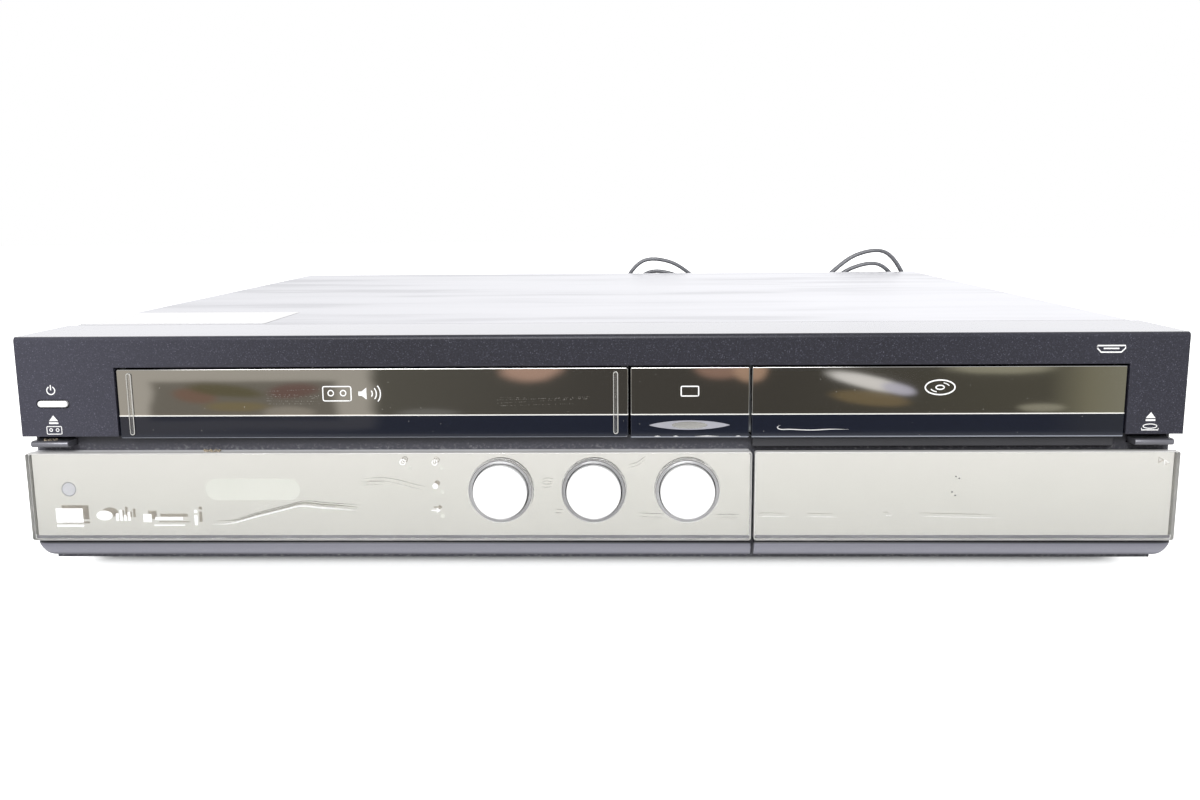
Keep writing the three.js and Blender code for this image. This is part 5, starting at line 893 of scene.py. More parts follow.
class RECORDER_OT_lead(bpy.types.Operator):
    """Build the mains lead: strain relief, flat twin lead in its hank, tie and plug"""

    bl_idname = "recorder.lead"
    bl_label = "Mains lead"

    def execute(self, context):
        sizes = context.scene.recorder_lead
        route = lead_route(sizes.width)
        self.add_sheath(route, sizes)
        self.add_relief()
        self.add_tie()
        self.add_plug()
        self.add_blades()
        return {"FINISHED"}

    def add_sheath(self, route, sizes):
        """Sweep the two joined cores, with a groove between them on both faces."""
        section = []
        core = sizes.thickness / 2
        middle = sizes.width / 2 - core
        for i in range(24):
            turn = 2 * math.pi * i / 24
            a = core * math.cos(turn) + math.copysign(middle, math.cos(turn))
            b = core * math.sin(turn)
            if abs(math.cos(turn)) < 0.3:
                b *= 0.62 + 1.2 * abs(math.cos(turn))
            section.append((a, b))
        rings = []
        last = len(route) - 1
        across = Vector((-1, 0, 0))
        for i, p in enumerate(route):
            along = (route[min(i + 1, last)] - route[max(i - 1, 0)]).normalized()
            # The lead lies flat on the floor at both ends and stands on edge in the hank
            lies = i < last * 0.17 or i > last * 0.93
            wanted = Vector((0, 0, 1)).cross(along) if lies else Vector((0, 1, 0))
            if wanted.length < 0.2 or wanted.dot(across) < 0:
                wanted = across
            across = across * 0.6 + wanted.normalized() * 0.4
            across = (across - along * across.dot(along)).normalized()
            over = along.cross(across)
            rings.append([(p + across * a + over * b) / MM for a, b in section])
        mesh = build_mesh("mains_lead", loft(rings), 60)
        nodes = ["cord_run", "cord_hank", "cord_tail"]
        return link_piece("mains_lead", mesh, "sheath", "case", nodes)

    def add_relief(self):
        """Turn the strain relief: a flange in the panel, then ribs that thin out along the lead."""
        x, _, z = node_middle("strain_relief")
        end = node_box("strain_relief")[1].y
        profile = [
            (180.0, 0), (180.0, 6.2), (184.2, 6.4), (184.4, 5.6), (186.2, 5.6), (186.4, 8.2), (186.8, 8.5),
            (188.6, 8.5), (189.2, 8.1), (189.6, 6.2),
        ]
        y = start = 190.4
        while y < end - 2.4:
            radius = 6.0 - 2.4 * (y - start) / (end - start)
            profile += [(y, radius - 1.0), (y + 0.7, radius - 1.0), (y + 0.9, radius), (y + 2.3, radius - 0.1)]
            y += 2.9
        profile += [(end - 0.4, 3.3), (end, 2.9), (end, 0)]
        mesh = build_mesh("strain_relief_sleeve", lathe(profile, (x, 0, z), "y", 40), 30)
        return link_piece("strain_relief_sleeve", mesh, "rubber", "case", ["strain_relief"])

    def add_tie(self):
        """Wind the twist tie twice round both strands and twist its ends together."""
        low, high = node_box("cord_tie")
        x, y, z = node_middle("cord_tie")
        half_y, half_z = (high.y - low.y) / 2 - 0.55, (high.z - low.z) / 2 - 0.55
        path = []
        for i in range(97):
            turn = 2 * math.pi * i / 48 + math.pi / 2
            c, s = powered(math.cos(turn), 0.55), powered(math.sin(turn), 0.55)
            path.append(Vector((x - 1.1 + 2.2 * i / 96, y + half_y * c, z + half_z * s)))
        rings = []
        for i, p in enumerate(path):
            along = (path[min(i + 1, 96)] - path[max(i - 1, 0)]).normalized()
            out = Vector((0, p.y - y, p.z - z)).normalized()
            side = along.cross(out).normalized()
            out = side.cross(along)
            # The tie is a flat band, 1.7 mm wide and 0.76 mm thick
            corners = ((side, 0.85), (out, 0.38), (side, -0.85), (out, -0.38))
            rings.append([tuple(p + v * d) for v, d in corners])
        shapes = [loft(rings)]
        for side in (-1, 1):
            rings = []
            for i in range(25):
                turn = 2 * math.pi * i / 12 + (0 if side > 0 else math.pi)
                a = x + side * 0.2 + 0.5 * math.cos(turn)
                b = low.y + 0.3 - 0.02 * i + 0.5 * math.sin(turn)
                ring = round_outline(a, b, 0.42, 6)
                rings.append([(u, v, high.z - 2.4 + 0.1 * i) for u, v in ring])
            shapes.append(loft(rings))
        mesh = build_mesh("twist_tie", gather(shapes), 50)
        return link_piece("twist_tie", mesh, "tie", "case", ["cord_tie"])

    def add_plug(self):
        """Loft the plug's body with its finger grips."""
        low, high = node_box("mains_plug")
        _, y, z = node_middle("mains_plug")
        half_w, half_t = (high.y - low.y) / 2, (high.z - low.z) / 2
        # Along the plug: distance from its lead end, share of the width, share of the thickness
        stations = [
            (0, 0.30, 0.34), (1.5, 0.33, 0.38), (3, 0.33, 0.38), (4, 0.40, 0.46), (6, 0.40, 0.46),
            (7, 0.47, 0.54), (9, 0.48, 0.56), (10.5, 0.60, 0.66), (12.5, 0.84, 0.84), (15, 0.97, 0.96),
            (17, 0.99, 1.0), (19, 0.9, 0.98), (20.5, 0.99, 1.0), (22, 0.9, 0.98), (23.5, 0.99, 1.0),
            (25, 0.9, 0.98), (27, 0.99, 1.0), (32, 1.0, 1.0), (36.5, 0.99, 0.98), (37.6, 0.94, 0.92),
            (38, 0.86, 0.84),
        ]
        turns = [2 * math.pi * k / 32 for k in range(32)]
        corners = [(powered(math.cos(t), 0.6), powered(math.sin(t), 0.6)) for t in turns]
        rings = [
            [(low.x + along, y + half_w * w * c, z + half_t * t * s) for c, s in corners]
            for along, w, t in stations
        ]
        mesh = build_mesh("mains_plug_body", loft(rings), 40)
        return link_piece("mains_plug_body", mesh, "rubber", "case", ["mains_plug"])

    def add_blades(self):
        """Add the plug's two blades, 1.5 mm thick and 12.7 mm apart."""
        low, high = node_box("mains_plug")
        _, y, z = node_middle("mains_plug")
        outline = [(low.x + 36, z - 3.1), (high.x - 1.2, z - 3.1), (high.x, z - 2.0)]
        outline += [(high.x, z + 2.0), (high.x - 1.2, z + 3.1), (low.x + 36, z + 3.1)]
        shapes = []
        for side in (y - 6.35, y + 6.35):
            shapes.append(loft([[(a, side + half, b) for a, b in outline] for half in (-0.75, 0.75)]))
        mesh = build_mesh("mains_plug_blades", gather(shapes))
        return link_piece("mains_plug_blades", mesh, "nickel", "case")


# Repeated small pieces

def screw_head(add, radius, height):
    """Cut a cross into a coned screw head."""
    top = add("Math", [radius, 0.72], operation="MULTIPLY")
    cap = add(
        "GeometryNodeMeshCone",
        {"Vertices": 28, "Side Segments": 1, "Radius Top": top, "Radius Bottom": radius, "Depth": height},
        fill_type="NGON",
    )
    cut = add("GeometryNodeMeshBoolean", {"Mesh 1": cap}, operation="DIFFERENCE")
    for long_side in (0, 1):
        reach = add("Math", [radius, 1.05], operation="MULTIPLY")
        narrow = add("Math", [radius, 0.24], operation="MULTIPLY")
        size = add("CombineXYZ", {long_side: reach, 1 - long_side: narrow, 2: height})
        lift = add("CombineXYZ", {2: add("Math", [height, 0.85], operation="MULTIPLY")})
        arm = add("GeometryNodeMeshCube", {"Size": size})
        moved = add("GeometryNodeTransform", {"Geometry": arm, "Translation": lift})
        cut.id_data.links.new(moved.outputs[0], cut.inputs["Mesh 2"])
    return cut


def head_shape(add, kind, radius, height):
    """Return the geometry of one repeated piece: a cross-headed screw, a ring, or a fin."""
    if kind == "screw":
        return screw_head(add, radius, height)
    if kind == "fin":
        return add("GeometryNodeMeshCube", {"Size": add("CombineXYZ", [height, radius, radius])})
    path = add("GeometryNodeCurvePrimitiveCircle", {"Resolution": 40, "Radius": radius})
    section = add("GeometryNodeCurvePrimitiveCircle", {"Resolution": 10, "Radius": height})
    return add("GeometryNodeCurveToMesh", {"Curve": path, "Profile Curve": section})


def repeat_tree(kind):
    """Build the tree that puts one small piece on each point of a mesh."""
    tree = bpy.data.node_groups.new("repeat_" + kind, "GeometryNodeTree")
    sockets = {
        "Points": "Geometry", "Turn": "Vector", "Radius": "Float", "Height": "Float", "Finish": "Material",
    }
    for name, sort in sockets.items():
        tree.interface.new_socket(name, in_out="INPUT", socket_type="NodeSocket" + sort)
    tree.interface.new_socket("Geometry", in_out="OUTPUT", socket_type="NodeSocketGeometry")
    add = functools.partial(add_node, tree)
    given = add("NodeGroupInput").outputs
    head = head_shape(add, kind, given["Radius"], given["Height"])
    placed = add(
        "GeometryNodeInstanceOnPoints", {"Points": given["Points"], "Instance": head, "Rotation": given["Turn"]}
    )
    real = add("GeometryNodeRealizeInstances", [placed])
    add("NodeGroupOutput", [add("GeometryNodeSetMaterial", {"Geometry": real, "Material": given["Finish"]})])
    return tree


def repeat_pieces(name, kind, places, turn, radius, height, finish):
    """Put the same small piece at each place on the case, in millimetres, as one plain mesh."""
    tree = bpy.data.node_groups.get("repeat_" + kind) or repeat_tree(kind)
    dots = bpy.data.meshes.new(name + "_points")
    dots.from_pydata([Vector(p) * MM for p in places], [], [])
    holder = bpy.data.objects.new(name + "_points", dots)
    bpy.context.scene.collection.objects.link(holder)
    maker = holder.modifiers.new("repeat", "NODES")
    maker.node_group = tree
    wanted = {"Turn": turn, "Radius": radius * MM, "Height": height * MM, "Finish": FINISHES[finish]}
    for item in tree.interface.items_tree:
        if item.item_type == "SOCKET" and item.in_out == "INPUT" and item.name in wanted:
            maker[item.identifier] = wanted[item.name]
    mesh = evaluated_mesh(holder, name)
    bpy.data.objects.remove(holder)
    bpy.data.meshes.remove(dots)
    mesh.materials.clear()
    if not mesh.polygons:
        raise RuntimeError(name + " came out empty")
    smooth_mesh(mesh, 40)
    return link_piece(name, mesh, finish, "case")


# Finishes of the pieces that are shown as the CAD made them

NODE_FINISHES = {
    "zinc": (
        "chassis_base", "deck_plate", "cassette_carriage", "carriage_slider", "carriage_rail_left",
        "carriage_rail_right", "drive_bracket", "drive_housing",
    ),
    "cast": ("drum_base", "hard_drive"),
    "turned": ("capstan", "head_drum"),
    "black": (
        "pinch_arm", "supply_reel", "takeup_reel", "fan_frame", "rear_sockets", "socket_pocket", "disc_tray",
        "disc_hub", "flip_door_backing",
    ),
    "gloss": ("fan_rotor", "display_module"),
    "grey": ("front_sockets", "laser_sled"),
    "board": ("power_supply", "main_board", "key_board"),
    "nickel": ("tuner_block",),
    "lens": ("sensor_lens",),
    "cover": ("rear_panel",),
    "lever": ("small_key_1", "small_key_2", "small_key_3"),
}


class RECORDER_OT_finishes(bpy.types.Operator):
    """Make every finish and give the inner pieces theirs"""

    bl_idname = "recorder.finishes"
    bl_label = "Finishes"

    def execute(self, context):
        make_finishes()
        for finish, nodes in NODE_FINISHES.items():
            for piece in [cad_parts[node] for node in nodes]:
                if not piece.material_slots:
                    piece.data.materials.append(None)
                for slot in piece.material_slots:
                    slot.link = "OBJECT"
                    slot.material = FINISHES[finish]
        return {"FINISHED"}


# Case

# The strip's face from its top edge to its bottom edge: set back from the front, below the top
STRIP_BOW = ((2.4, 0.0), (0.9, 0.12), (0.35, 0.5), (0.05, 1.5), (0.0, 2.6), (0.25, 3.7), (0.8, 4.7))
STRIP_CORNER = 6.4
STRIP_LIFT = 4.6
# A foot from the floor up: height, less than its radius
FOOT_PROFILE = (
    (0, 5), (0.3, 4.4), (1.2, 4.2), (1.3, 1.0), (1.8, 0.3), (2.4, 0), (3.4, 0.1), (3.6, 0.6), (4.2, 0.6),
    (4.4, 0.3), (5.6, 0.7), (5.8, 1.2), (6.4, 1.2), (6.6, 1.0),
)
PAPER = 0.12


class RECORDER_OT_case(bpy.types.Operator):
    """Round the edges of the case pieces and add the label and the feet"""

    bl_idname = "recorder.case"
    bl_label = "Case"

    def execute(self, context):
        sizes = context.scene.recorder_case
        edge = sizes.edge / MM
        softened("top_cover_sheet", "top_cover", "cover", "case", 0.25, 2, 25, dissolve=False)
        softened("upper_fascia", "front_fascia", "fascia", "case", edge, 2, 30)
        softened("neck_and_frame", "front_frame", "neck", "case", edge, 2, 35)
        self.add_strip("lower_strip_left", "lower_trim_strip", "case", -1)
        self.add_strip("lower_strip_door", "flip_door_trim", "flip_door", 1)
        self.add_label(sizes.label)
        for name in ("foot_front_left", "foot_front_right", "foot_rear_left", "foot_rear_right"):
            self.add_foot(name)
        return {"FINISHED"}

    def add_strip(self, name, node, body, side):
        """Sweep the strip's bowed face along the front and round its outer end back into the case."""
        low, high = node_box(node)
        deep, tall = high.y - low.y, high.z - low.z
        section = [(min(back, deep - 0.1), tall - drop) for back, drop in (*STRIP_BOW, (1.5, tall))]
        section = [(deep, tall), *section, (deep, 0.0)]
        inner, outer = (low.x, high.x) if side > 0 else (high.x, low.x)
        # Along the strip: place across, how far the face stands back, how far the foot rises
        stations = [(inner, 0.35, 0), (inner + side * 0.2, 0.08, 0), (inner + side * 0.5, 0.0, 0)]
        for i in range(13):
            turn = math.pi / 2 * i / 12
            rise = 1 - math.cos(turn)
            x = outer - side * STRIP_CORNER * (1 - math.sin(turn))
            stations.append((x, 2.2 * rise, STRIP_LIFT * rise))
        rings = [
            [
                (x, low.y + min(depth + back, deep), low.z + rise + height * (tall - rise) / tall)
                for depth, height in section
            ]
            for x, back, rise in stations
        ]
        link_piece(name, build_mesh(name, loft(rings), 32), "strip", body, [node])

    def add_label(self, size):
        """A blank paper label on the cover, at its front left corner."""
        low, high = node_box("top_cover")
        x, y = low.x + 1.2, low.y + 3
        outline = rounded_outline(x, x + size[0] / MM - 7, y, y + size[1] / MM, 1.5)
        plate_piece("blank_label", "case", "paper", [outline], high.z, high.z + PAPER, axis="z")

    def add_foot(self, node):
        """A turned foot: a flared skirt with three grooves, and a pad of rubber under it."""
        low, high = node_box(node)
        x, y, _ = node_middle(node)
        wide, top = (high.x - low.x) / 2, high.z
        profile = [(0, 0), *[(z, wide - less) for z, less in FOOT_PROFILE]]
        profile += [(top - 0.5, wide - 1.9), (top, wide - 2.3), (top, 0)]
        name = node + "_turned"
        mesh = build_mesh(name, lathe(profile, (x, y, 0), "z", 64), 30)
        link_piece(name, mesh, "rubber", "case", [node])


# Windows

DOOR_X = (-178.0, 12.4)
DOOR_Y = (-191.2, -188.4)
DOOR_TOP = 84.2
DOOR_PIVOT_Y = -187.0
OVAL = (35.0, 62.6)


class RECORDER_OT_windows(bpy.types.Operator):
    """Build the three smoked mirror pieces of the upper front"""

    bl_idname = "recorder.windows"
    bl_label = "Windows"

    def execute(self, context):
        self.add_tape_door()
        for name, node, body in (
            ("centre_mirror_window", "centre_window", "case"),
            ("tray_mirror_front", "tray_front", "tray"),
        ):
            low, high = node_box(node)
            outline = rounded_outline(low.x, high.x, low.z, high.z, 0.5)
            plate_piece(
                name, body, "window", [outline], low.y, high.y, 0.35, slot="smoked_mirror", replaces=[node]
            )
        self.add_oval()
        # The dark sill juts out of the neck under the tray's window
        low, high = node_box("tray_front")
        outline = rounded_outline(low.x + 0.8, high.x - 1.6, 53.5, 57.0, 0.5, 6)
        plate_piece("tray_sill", "case", "sill", [outline], -187.2, -183.8, 0.4)
        return {"FINISHED"}

    def add_tape_door(self):
        low, high = node_box("tape_door")
        (x0, x1), (y0, y1), z0, z1 = DOOR_X, DOOR_Y, low.z, DOOR_TOP
        body = "tape_door"
        plate_piece(
            "tape_door_window", body, "window", [rounded_outline(x0, x1, z0, z1, 0.8)], y0, y1, 0.35,
            slot="smoked_mirror", replaces=["tape_door"],
        )
        for side, x in (("left", x0 + 3.9), ("right", x1 - 5.5)):
            outline = rounded_outline(x, x + 1.8, z0 + 1.3, z1 - 1.4, 0.88, 10)
            plate_piece("tape_door_rib_" + side, body, "rib", [outline], y0 - 0.5, y0 + 0.4, 0.38, 5)
            inner = rounded_outline(x + 0.2, x + 1.5, z0 + 1.6, z1 - 1.7, 0.65, 10)
            plate_piece("tape_door_rib_glint_" + side, body, "glint", [outline, inner], y0 - 0.55, y0 - 0.5)
        y, z = DOOR_PIVOT_Y, high.z - 2.0
        shapes = []
        # Each end has a disc, a web down to the window, and a pin out to the fascia
        for x, pin, reach in (
            (x0 + 0.5, low.x + 0.1, x0 + 1.5 - (low.x + 0.1)),
            (x1 - 2.5, x1 - 1.5, high.x - 0.1 - (x1 - 1.5)),
        ):
            shapes.append(lathe([(0, 0), (0, 1.9), (2, 1.9), (2, 0)], (x, y, z), "x", 32))
            shapes.append(box(x + 0.05, x + 1.95, y - 1.7, y + 0.5, z1 - 3.6, z))
            shapes.append(lathe([(0, 0), (0, 1.1), (reach, 1.1), (reach, 0)], (pin, y, z), "x", 24))
        link_piece("tape_door_pivots", build_mesh("tape_door_pivots", gather(shapes)), "black", body)

    def add_oval(self):
        """The faint silver oval low in the centre window."""
        x, z = OVAL
        front = node_box("centre_window")[0].y
        turns = [2 * math.pi * i / 72 for i in range(72)]
        # A pointed oval: its height falls off towards the ends
        oval = [(x + 14.9 * math.cos(t), z + 1.75 * powered(math.sin(t), 1.6)) for t in turns]
        plate_piece("centre_window_oval", "case", "ledge", [oval], front - 0.05, front + 0.1)
        core = round_outline(x, z, 6.6, 48, 0.2)
        plate_piece("centre_window_oval_core", "case", "edge", [core], front - 0.08, front)


# Lower panels

KEY_NODES = ("round_key_left", "round_key_middle", "round_key_right")
KEY_RADIUS = 10.2
RING_RADIUS = 11.9
# The lip of a key's collar: behind the panel's face, less than its outer radius
COLLAR_LIP = ((0.5, 0), (0.12, 0.1), (0.08, 0.3), (0.4, 0.62), (0.42, 0.75), (0.22, 0.9), (0.26, 1.05))
COLLAR_DEEP = 7.2
LIGHTS = ((-70.0, 46.1), (-57.9, 46.1), (-57.9, 36.85), (-57.9, 27.5))


class RECORDER_OT_panels(bpy.types.Operator):
    """Build the clear panels, the mirror film behind them and their carriers"""

    bl_idname = "recorder.panels"
    bl_label = "Lower panels"

    def execute(self, context):
        thick = context.scene.recorder_front.acrylic / MM
        holes = [(x, z) for x, _, z in map(node_middle, KEY_NODES)]
        self.add_panel("lower_panel", "case", holes, thick, 0.3, 0.5)
        self.add_panel("flip_door_panel", "flip_door", [], thick, 0.5, 0.05)
        self.add_collars(holes)
        self.add_display(thick)
        return {"FINISHED"}

    def add_panel(self, node, body, holes, thick, left, right):
        """Add a panel's clear sheet, the film behind it, the carrier and the grey ledge at its foot."""
        low, high = node_box(node)
        behind = low.y + thick
        outline = rounded_outline(low.x, high.x, low.z, high.z, 0.9, 6)
        film = rounded_outline(low.x + left, high.x - right, low.z + 1.5, high.z - 0.9, 0.8, 6)
        base = rounded_outline(low.x + 0.3, high.x - 0.3, low.z + 0.3, high.z - 0.3, 0.7, 4)
        foot = rounded_outline(low.x + 0.5, high.x - 0.5, low.z + 0.3, low.z + 1.45, 0.5, 6)
        rims = [[round_outline(x, z, RING_RADIUS + more) for x, z in holes] for more in (0, 0.5, 0.1)]
        clear = plate_piece(
            node + "_acrylic", body, ["acrylic", "sheet_edge"], [outline, *rims[0]], low.y, behind, 0.35,
            slot="silver_mirror", replaces=[node],
        )
        for face in clear.data.polygons:
            face.material_index = int(abs(face.normal.y) < 0.97)
        plate_piece(
            node + "_mirror", body, "mirror", [film, *rims[1]], behind + 0.02, behind + 0.2,
            slot="silver_mirror",
        )
        plate_piece(node + "_carrier", body, "carrier", [base, *rims[2]], behind + 0.22, high.y)
        plate_piece(node + "_ledge", body, "ledge", [foot], behind + 0.02, behind + 0.2)

    def add_collars(self, holes):
        """Silver collars that line the key holes, dished towards the keys, their bore painted near black as
        shade.
        """
        front = node_box("lower_panel")[0].y
        outer, bore = RING_RADIUS - 0.1, KEY_RADIUS + 0.3
        profile = [(front + back, outer - less) for back, less in COLLAR_LIP]
        profile += [(front + 0.6, bore + 0.05), (front + 0.75, bore), (front + COLLAR_DEEP, bore)]
        profile += [(front + COLLAR_DEEP, outer), (front + 0.5, outer)]
        mesh = build_mesh("key_collars", gather([lathe(profile, (x, 0, z), capped=False) for x, z in holes]))
        # Deeper than 0.75 mm behind the front the bore takes the near black of painted shade
        for face in mesh.polygons:
            face.material_index = int(face.center.y / MM > front + 0.75)
        link_piece("key_collars", mesh, ["collar", "deep"], "case")

    def add_display(self, thick):
        """The display window, the sensor's disc and the four lights, on the face of the mirror film."""
        y = node_box("lower_panel")[0].y + thick + 0.01
        low, high = node_box("display_module")
        z = node_middle("display_module")[2]
        window = rounded_outline(low.x + 3.2, high.x - 3.2, z - 4.2, z + 4.2, 4.15, 12)
        plate_piece("display_window", "case", "pill", [window], y - 0.005, y + 0.005)
        x, _, z = node_middle("sensor_lens")
        disc = round_outline(x, z, 2.5, 48)
        plate_piece("sensor_rim", "case", "ledge", [round_outline(x, z, 2.8, 48), disc], y - 0.006, y + 0.006)
        plate_piece("sensor_disc", "case", "lens", [disc], y - 0.004, y + 0.004)
        for i, (x, z) in enumerate(LIGHTS):
            dot = round_outline(x, z, 0.85, 24)
            plate_piece("light_window_%d" % (i + 1), "case", "pill", [dot], y - 0.004, y + 0.004)


# Keys

# A key's cap: behind its front, less than its radius
CAP_FRONT = ((0, 0.6), (0.03, 0.4), (0.12, 0.2), (0.3, 0.06), (0.6, 0))


class RECORDER_OT_keys(bpy.types.Operator):
    """Build the round keys, the power key and the two thin levers"""

    bl_idname = "recorder.keys"
    bl_label = "Keys"

    def execute(self, context):
        for node in KEY_NODES:
            self.add_round_key(node, context.scene.recorder_front.key_steps)
        self.add_power_key()
        softened("tape_eject_lever", "tape_eject_tab", "lever", "tape_eject_tab", 0.3, 3, 40)
        softened("tray_lever", "tray_tab", "lever", "tray_tab", 0.3, 3, 40)
        return {"FINISHED"}

    def add_round_key(self, node, steps):
        """A plated cap 2 mm proud of the panel, its side in pale lacquer."""
        low, high = node_box(node)
        x, _, z = node_middle(node)
        front, back, r = low.y + 1.9, high.y - 3.1, KEY_RADIUS
        profile = [(front, 0), *[(front + deep, r - less) for deep, less in CAP_FRONT]]
        profile += [(back, r), (back + 0.1, r + 0.1), (back + 0.1, r + 1.6), (back + 1.6, r + 1.6)]
        profile += [(back + 1.6, 3), (high.y, 3), (high.y, 0)]
        mesh = build_mesh(node + "_cap", lathe(profile, (x, 0, z), "y", steps))
        for face in mesh.polygons:
            face.material_index = int(face.normal.y >= -0.5)
        link_piece(node + "_cap", mesh, ["plating", "pale_key"], node, [node])

    def add_power_key(self):
        node = "power_button"
        low, high = node_box(node)
        x, _, z = node_middle(node)
        outline = rounded_outline(x - 5.7, x + 5.7, z - 1.2, z + 1.2, 1.19, 12)
        plate_piece(
            "power_key_cap", node, "pale_key", [outline], low.y, high.y - 1.3, 0.45, 5, slot="key_silver",
            replaces=[node],
        )
        flange = rounded_outline(low.x, high.x, low.z, high.z, 2.6, 10)
        plate_piece("power_key_flange", node, "black", [flange], high.y - 1.3, high.y)


# Prints and marks of use

def stroke(points, width, y, tapered=False):
    """Return a flat line on a plane square to Y through points (x, z), even or tapered at both ends."""
    out_points, faces = [], []
    last = len(points) - 1
    for i, (x, z) in enumerate(points):
        before, after = points[max(i - 1, 0)], points[min(i + 1, last)]
        along = Vector((after[0] - before[0], after[1] - before[1])).normalized()
        half = width / 2
        if tapered:
            half *= min(1, 0.15 + 4 * min(i, last - i) / last)
        out_points.append((x - along.y * half, y, z + along.x * half))
        out_points.append((x + along.y * half, y, z - along.x * half))
        if i:
            faces.append((2 * i - 2, 2 * i - 1, 2 * i + 1, 2 * i))
    return out_points, faces


def loop(corners, width, y):
    """Return an even flat line round an outline."""
    return stroke([*corners, *corners[:2]], width, y)


def patch(corners, y):
    """Return one flat face on a plane square to Y."""
    return [(x, y, z) for x, z in corners], [tuple(range(len(corners)))]


def block(x, z, x0, x1, z0, z1, y):
    """Return a flat rectangle on a plane square to Y, measured from a place (x, z)."""
    return patch([(x + x0, z + z0), (x + x1, z + z0), (x + x1, z + z1), (x + x0, z + z1)], y)


def curve(points, parts=6):
    """Pass a smooth line through points (x, z)."""
    return [(p.x, p.y) for p in smooth_line(points, parts)]


def flat_piece(name, shapes, finish, body):
    """Turn flat shapes towards the front and make one piece of them."""
    mesh = build_mesh(name, gather(shapes), clean=False)
    for face in mesh.polygons:
        if face.normal.y > 0:
            face.flip()
    mesh.update()
    return link_piece(name, mesh, finish, body)


# Signs low on the left panel, from left to right: x0, x1, z0, z1 of blocks, and None for a disc
PANEL_SIGNS = (
    (0, 10.4, -1.4, 4.2), (0, 10.4, -3.0, -2.2), None,
    (23.0, 24.0, -0.6, 2.2), (24.5, 25.5, -0.6, 3.6), (26.0, 27.0, -0.6, 1.6), (27.5, 28.5, -0.6, 2.8),
    (33.4, 36.6, -1.2, 2.0), (37.4, 49.2, -2.6, -2.2), (38.0, 48.6, -0.4, 0.8),
    (53.0, 54.2, -2.4, 1.6), (53.0, 54.2, 2.4, 3.6),
)
PANEL_SIGNS_AT = (-205.0, 27.0)
POWER_SIGN_X, TRAY_SIGN_X = -202.6, 202.9
LIGHT_SIGNS_X = -60.0
# Fine marks, drawn half as wide again as they are, so that they show
HOOK = ((68.4, 62.5), (67.4, 61.7), (68.2, 61.0), (72, 60.9), (80, 60.6), (87, 60.9), (93.6, 60.8))
CHIPS = ((37, 46), (22, 24.4), (29, 31), (52, 54))
PANEL_SCRATCH = (
    (-145.4, 24.9), (-138, 25.3), (-129, 27.7), (-119, 30.2), (-111.4, 32.0), (-104, 31.4), (-97, 30.9),
    (-90.3, 30.3),
)
PANEL_SCUFFS = (
    ((-88.6, 41.3), (-82, 41.9), (-76, 41.2), (-70, 39.6), (-64.5, 38.2)),
    ((-88.2, 40.0), (-84, 40.4), (-79.5, 40.1)), ((-20.6, 41.0), (-18.2, 41.6), (-15.8, 41.2)),
    ((-20.2, 39.4), (-18.4, 39.2), (-16.4, 39.4)), ((12.2, 46.6), (16, 47.8), (19, 50.2)),
    ((-15.3, 29.4), (-12.4, 29.3)), ((-6.8, 29.3), (-4.9, 29.3)),
    ((16.0, 28.0), (21, 27.7), (26, 27.6)), ((45, 27.3), (50, 27.4), (54.2, 27.3)),
)
DOOR_SCUFFS = (
    ((61, 27.8), (66, 27.9), (72, 27.7)), ((79, 27.8), (90, 27.6)), ((108, 28.2), (110.5, 28.1)),
    ((121, 27.9), (134, 27.6), (151, 27.2)),
)
PINHOLES = ((134.2, 42.5), (135.4, 41.8), (133.0, 36.6), (134.2, 35.3))
# Rows of fine dots that a cleaning cloth left: x0, x1, z0, z1, rows, dots in a row
DOTTED_RUBS = ((-122, -102, 70.9, 76.2, 6, 26), (-36, -2, 69.6, 73.9, 5, 40))


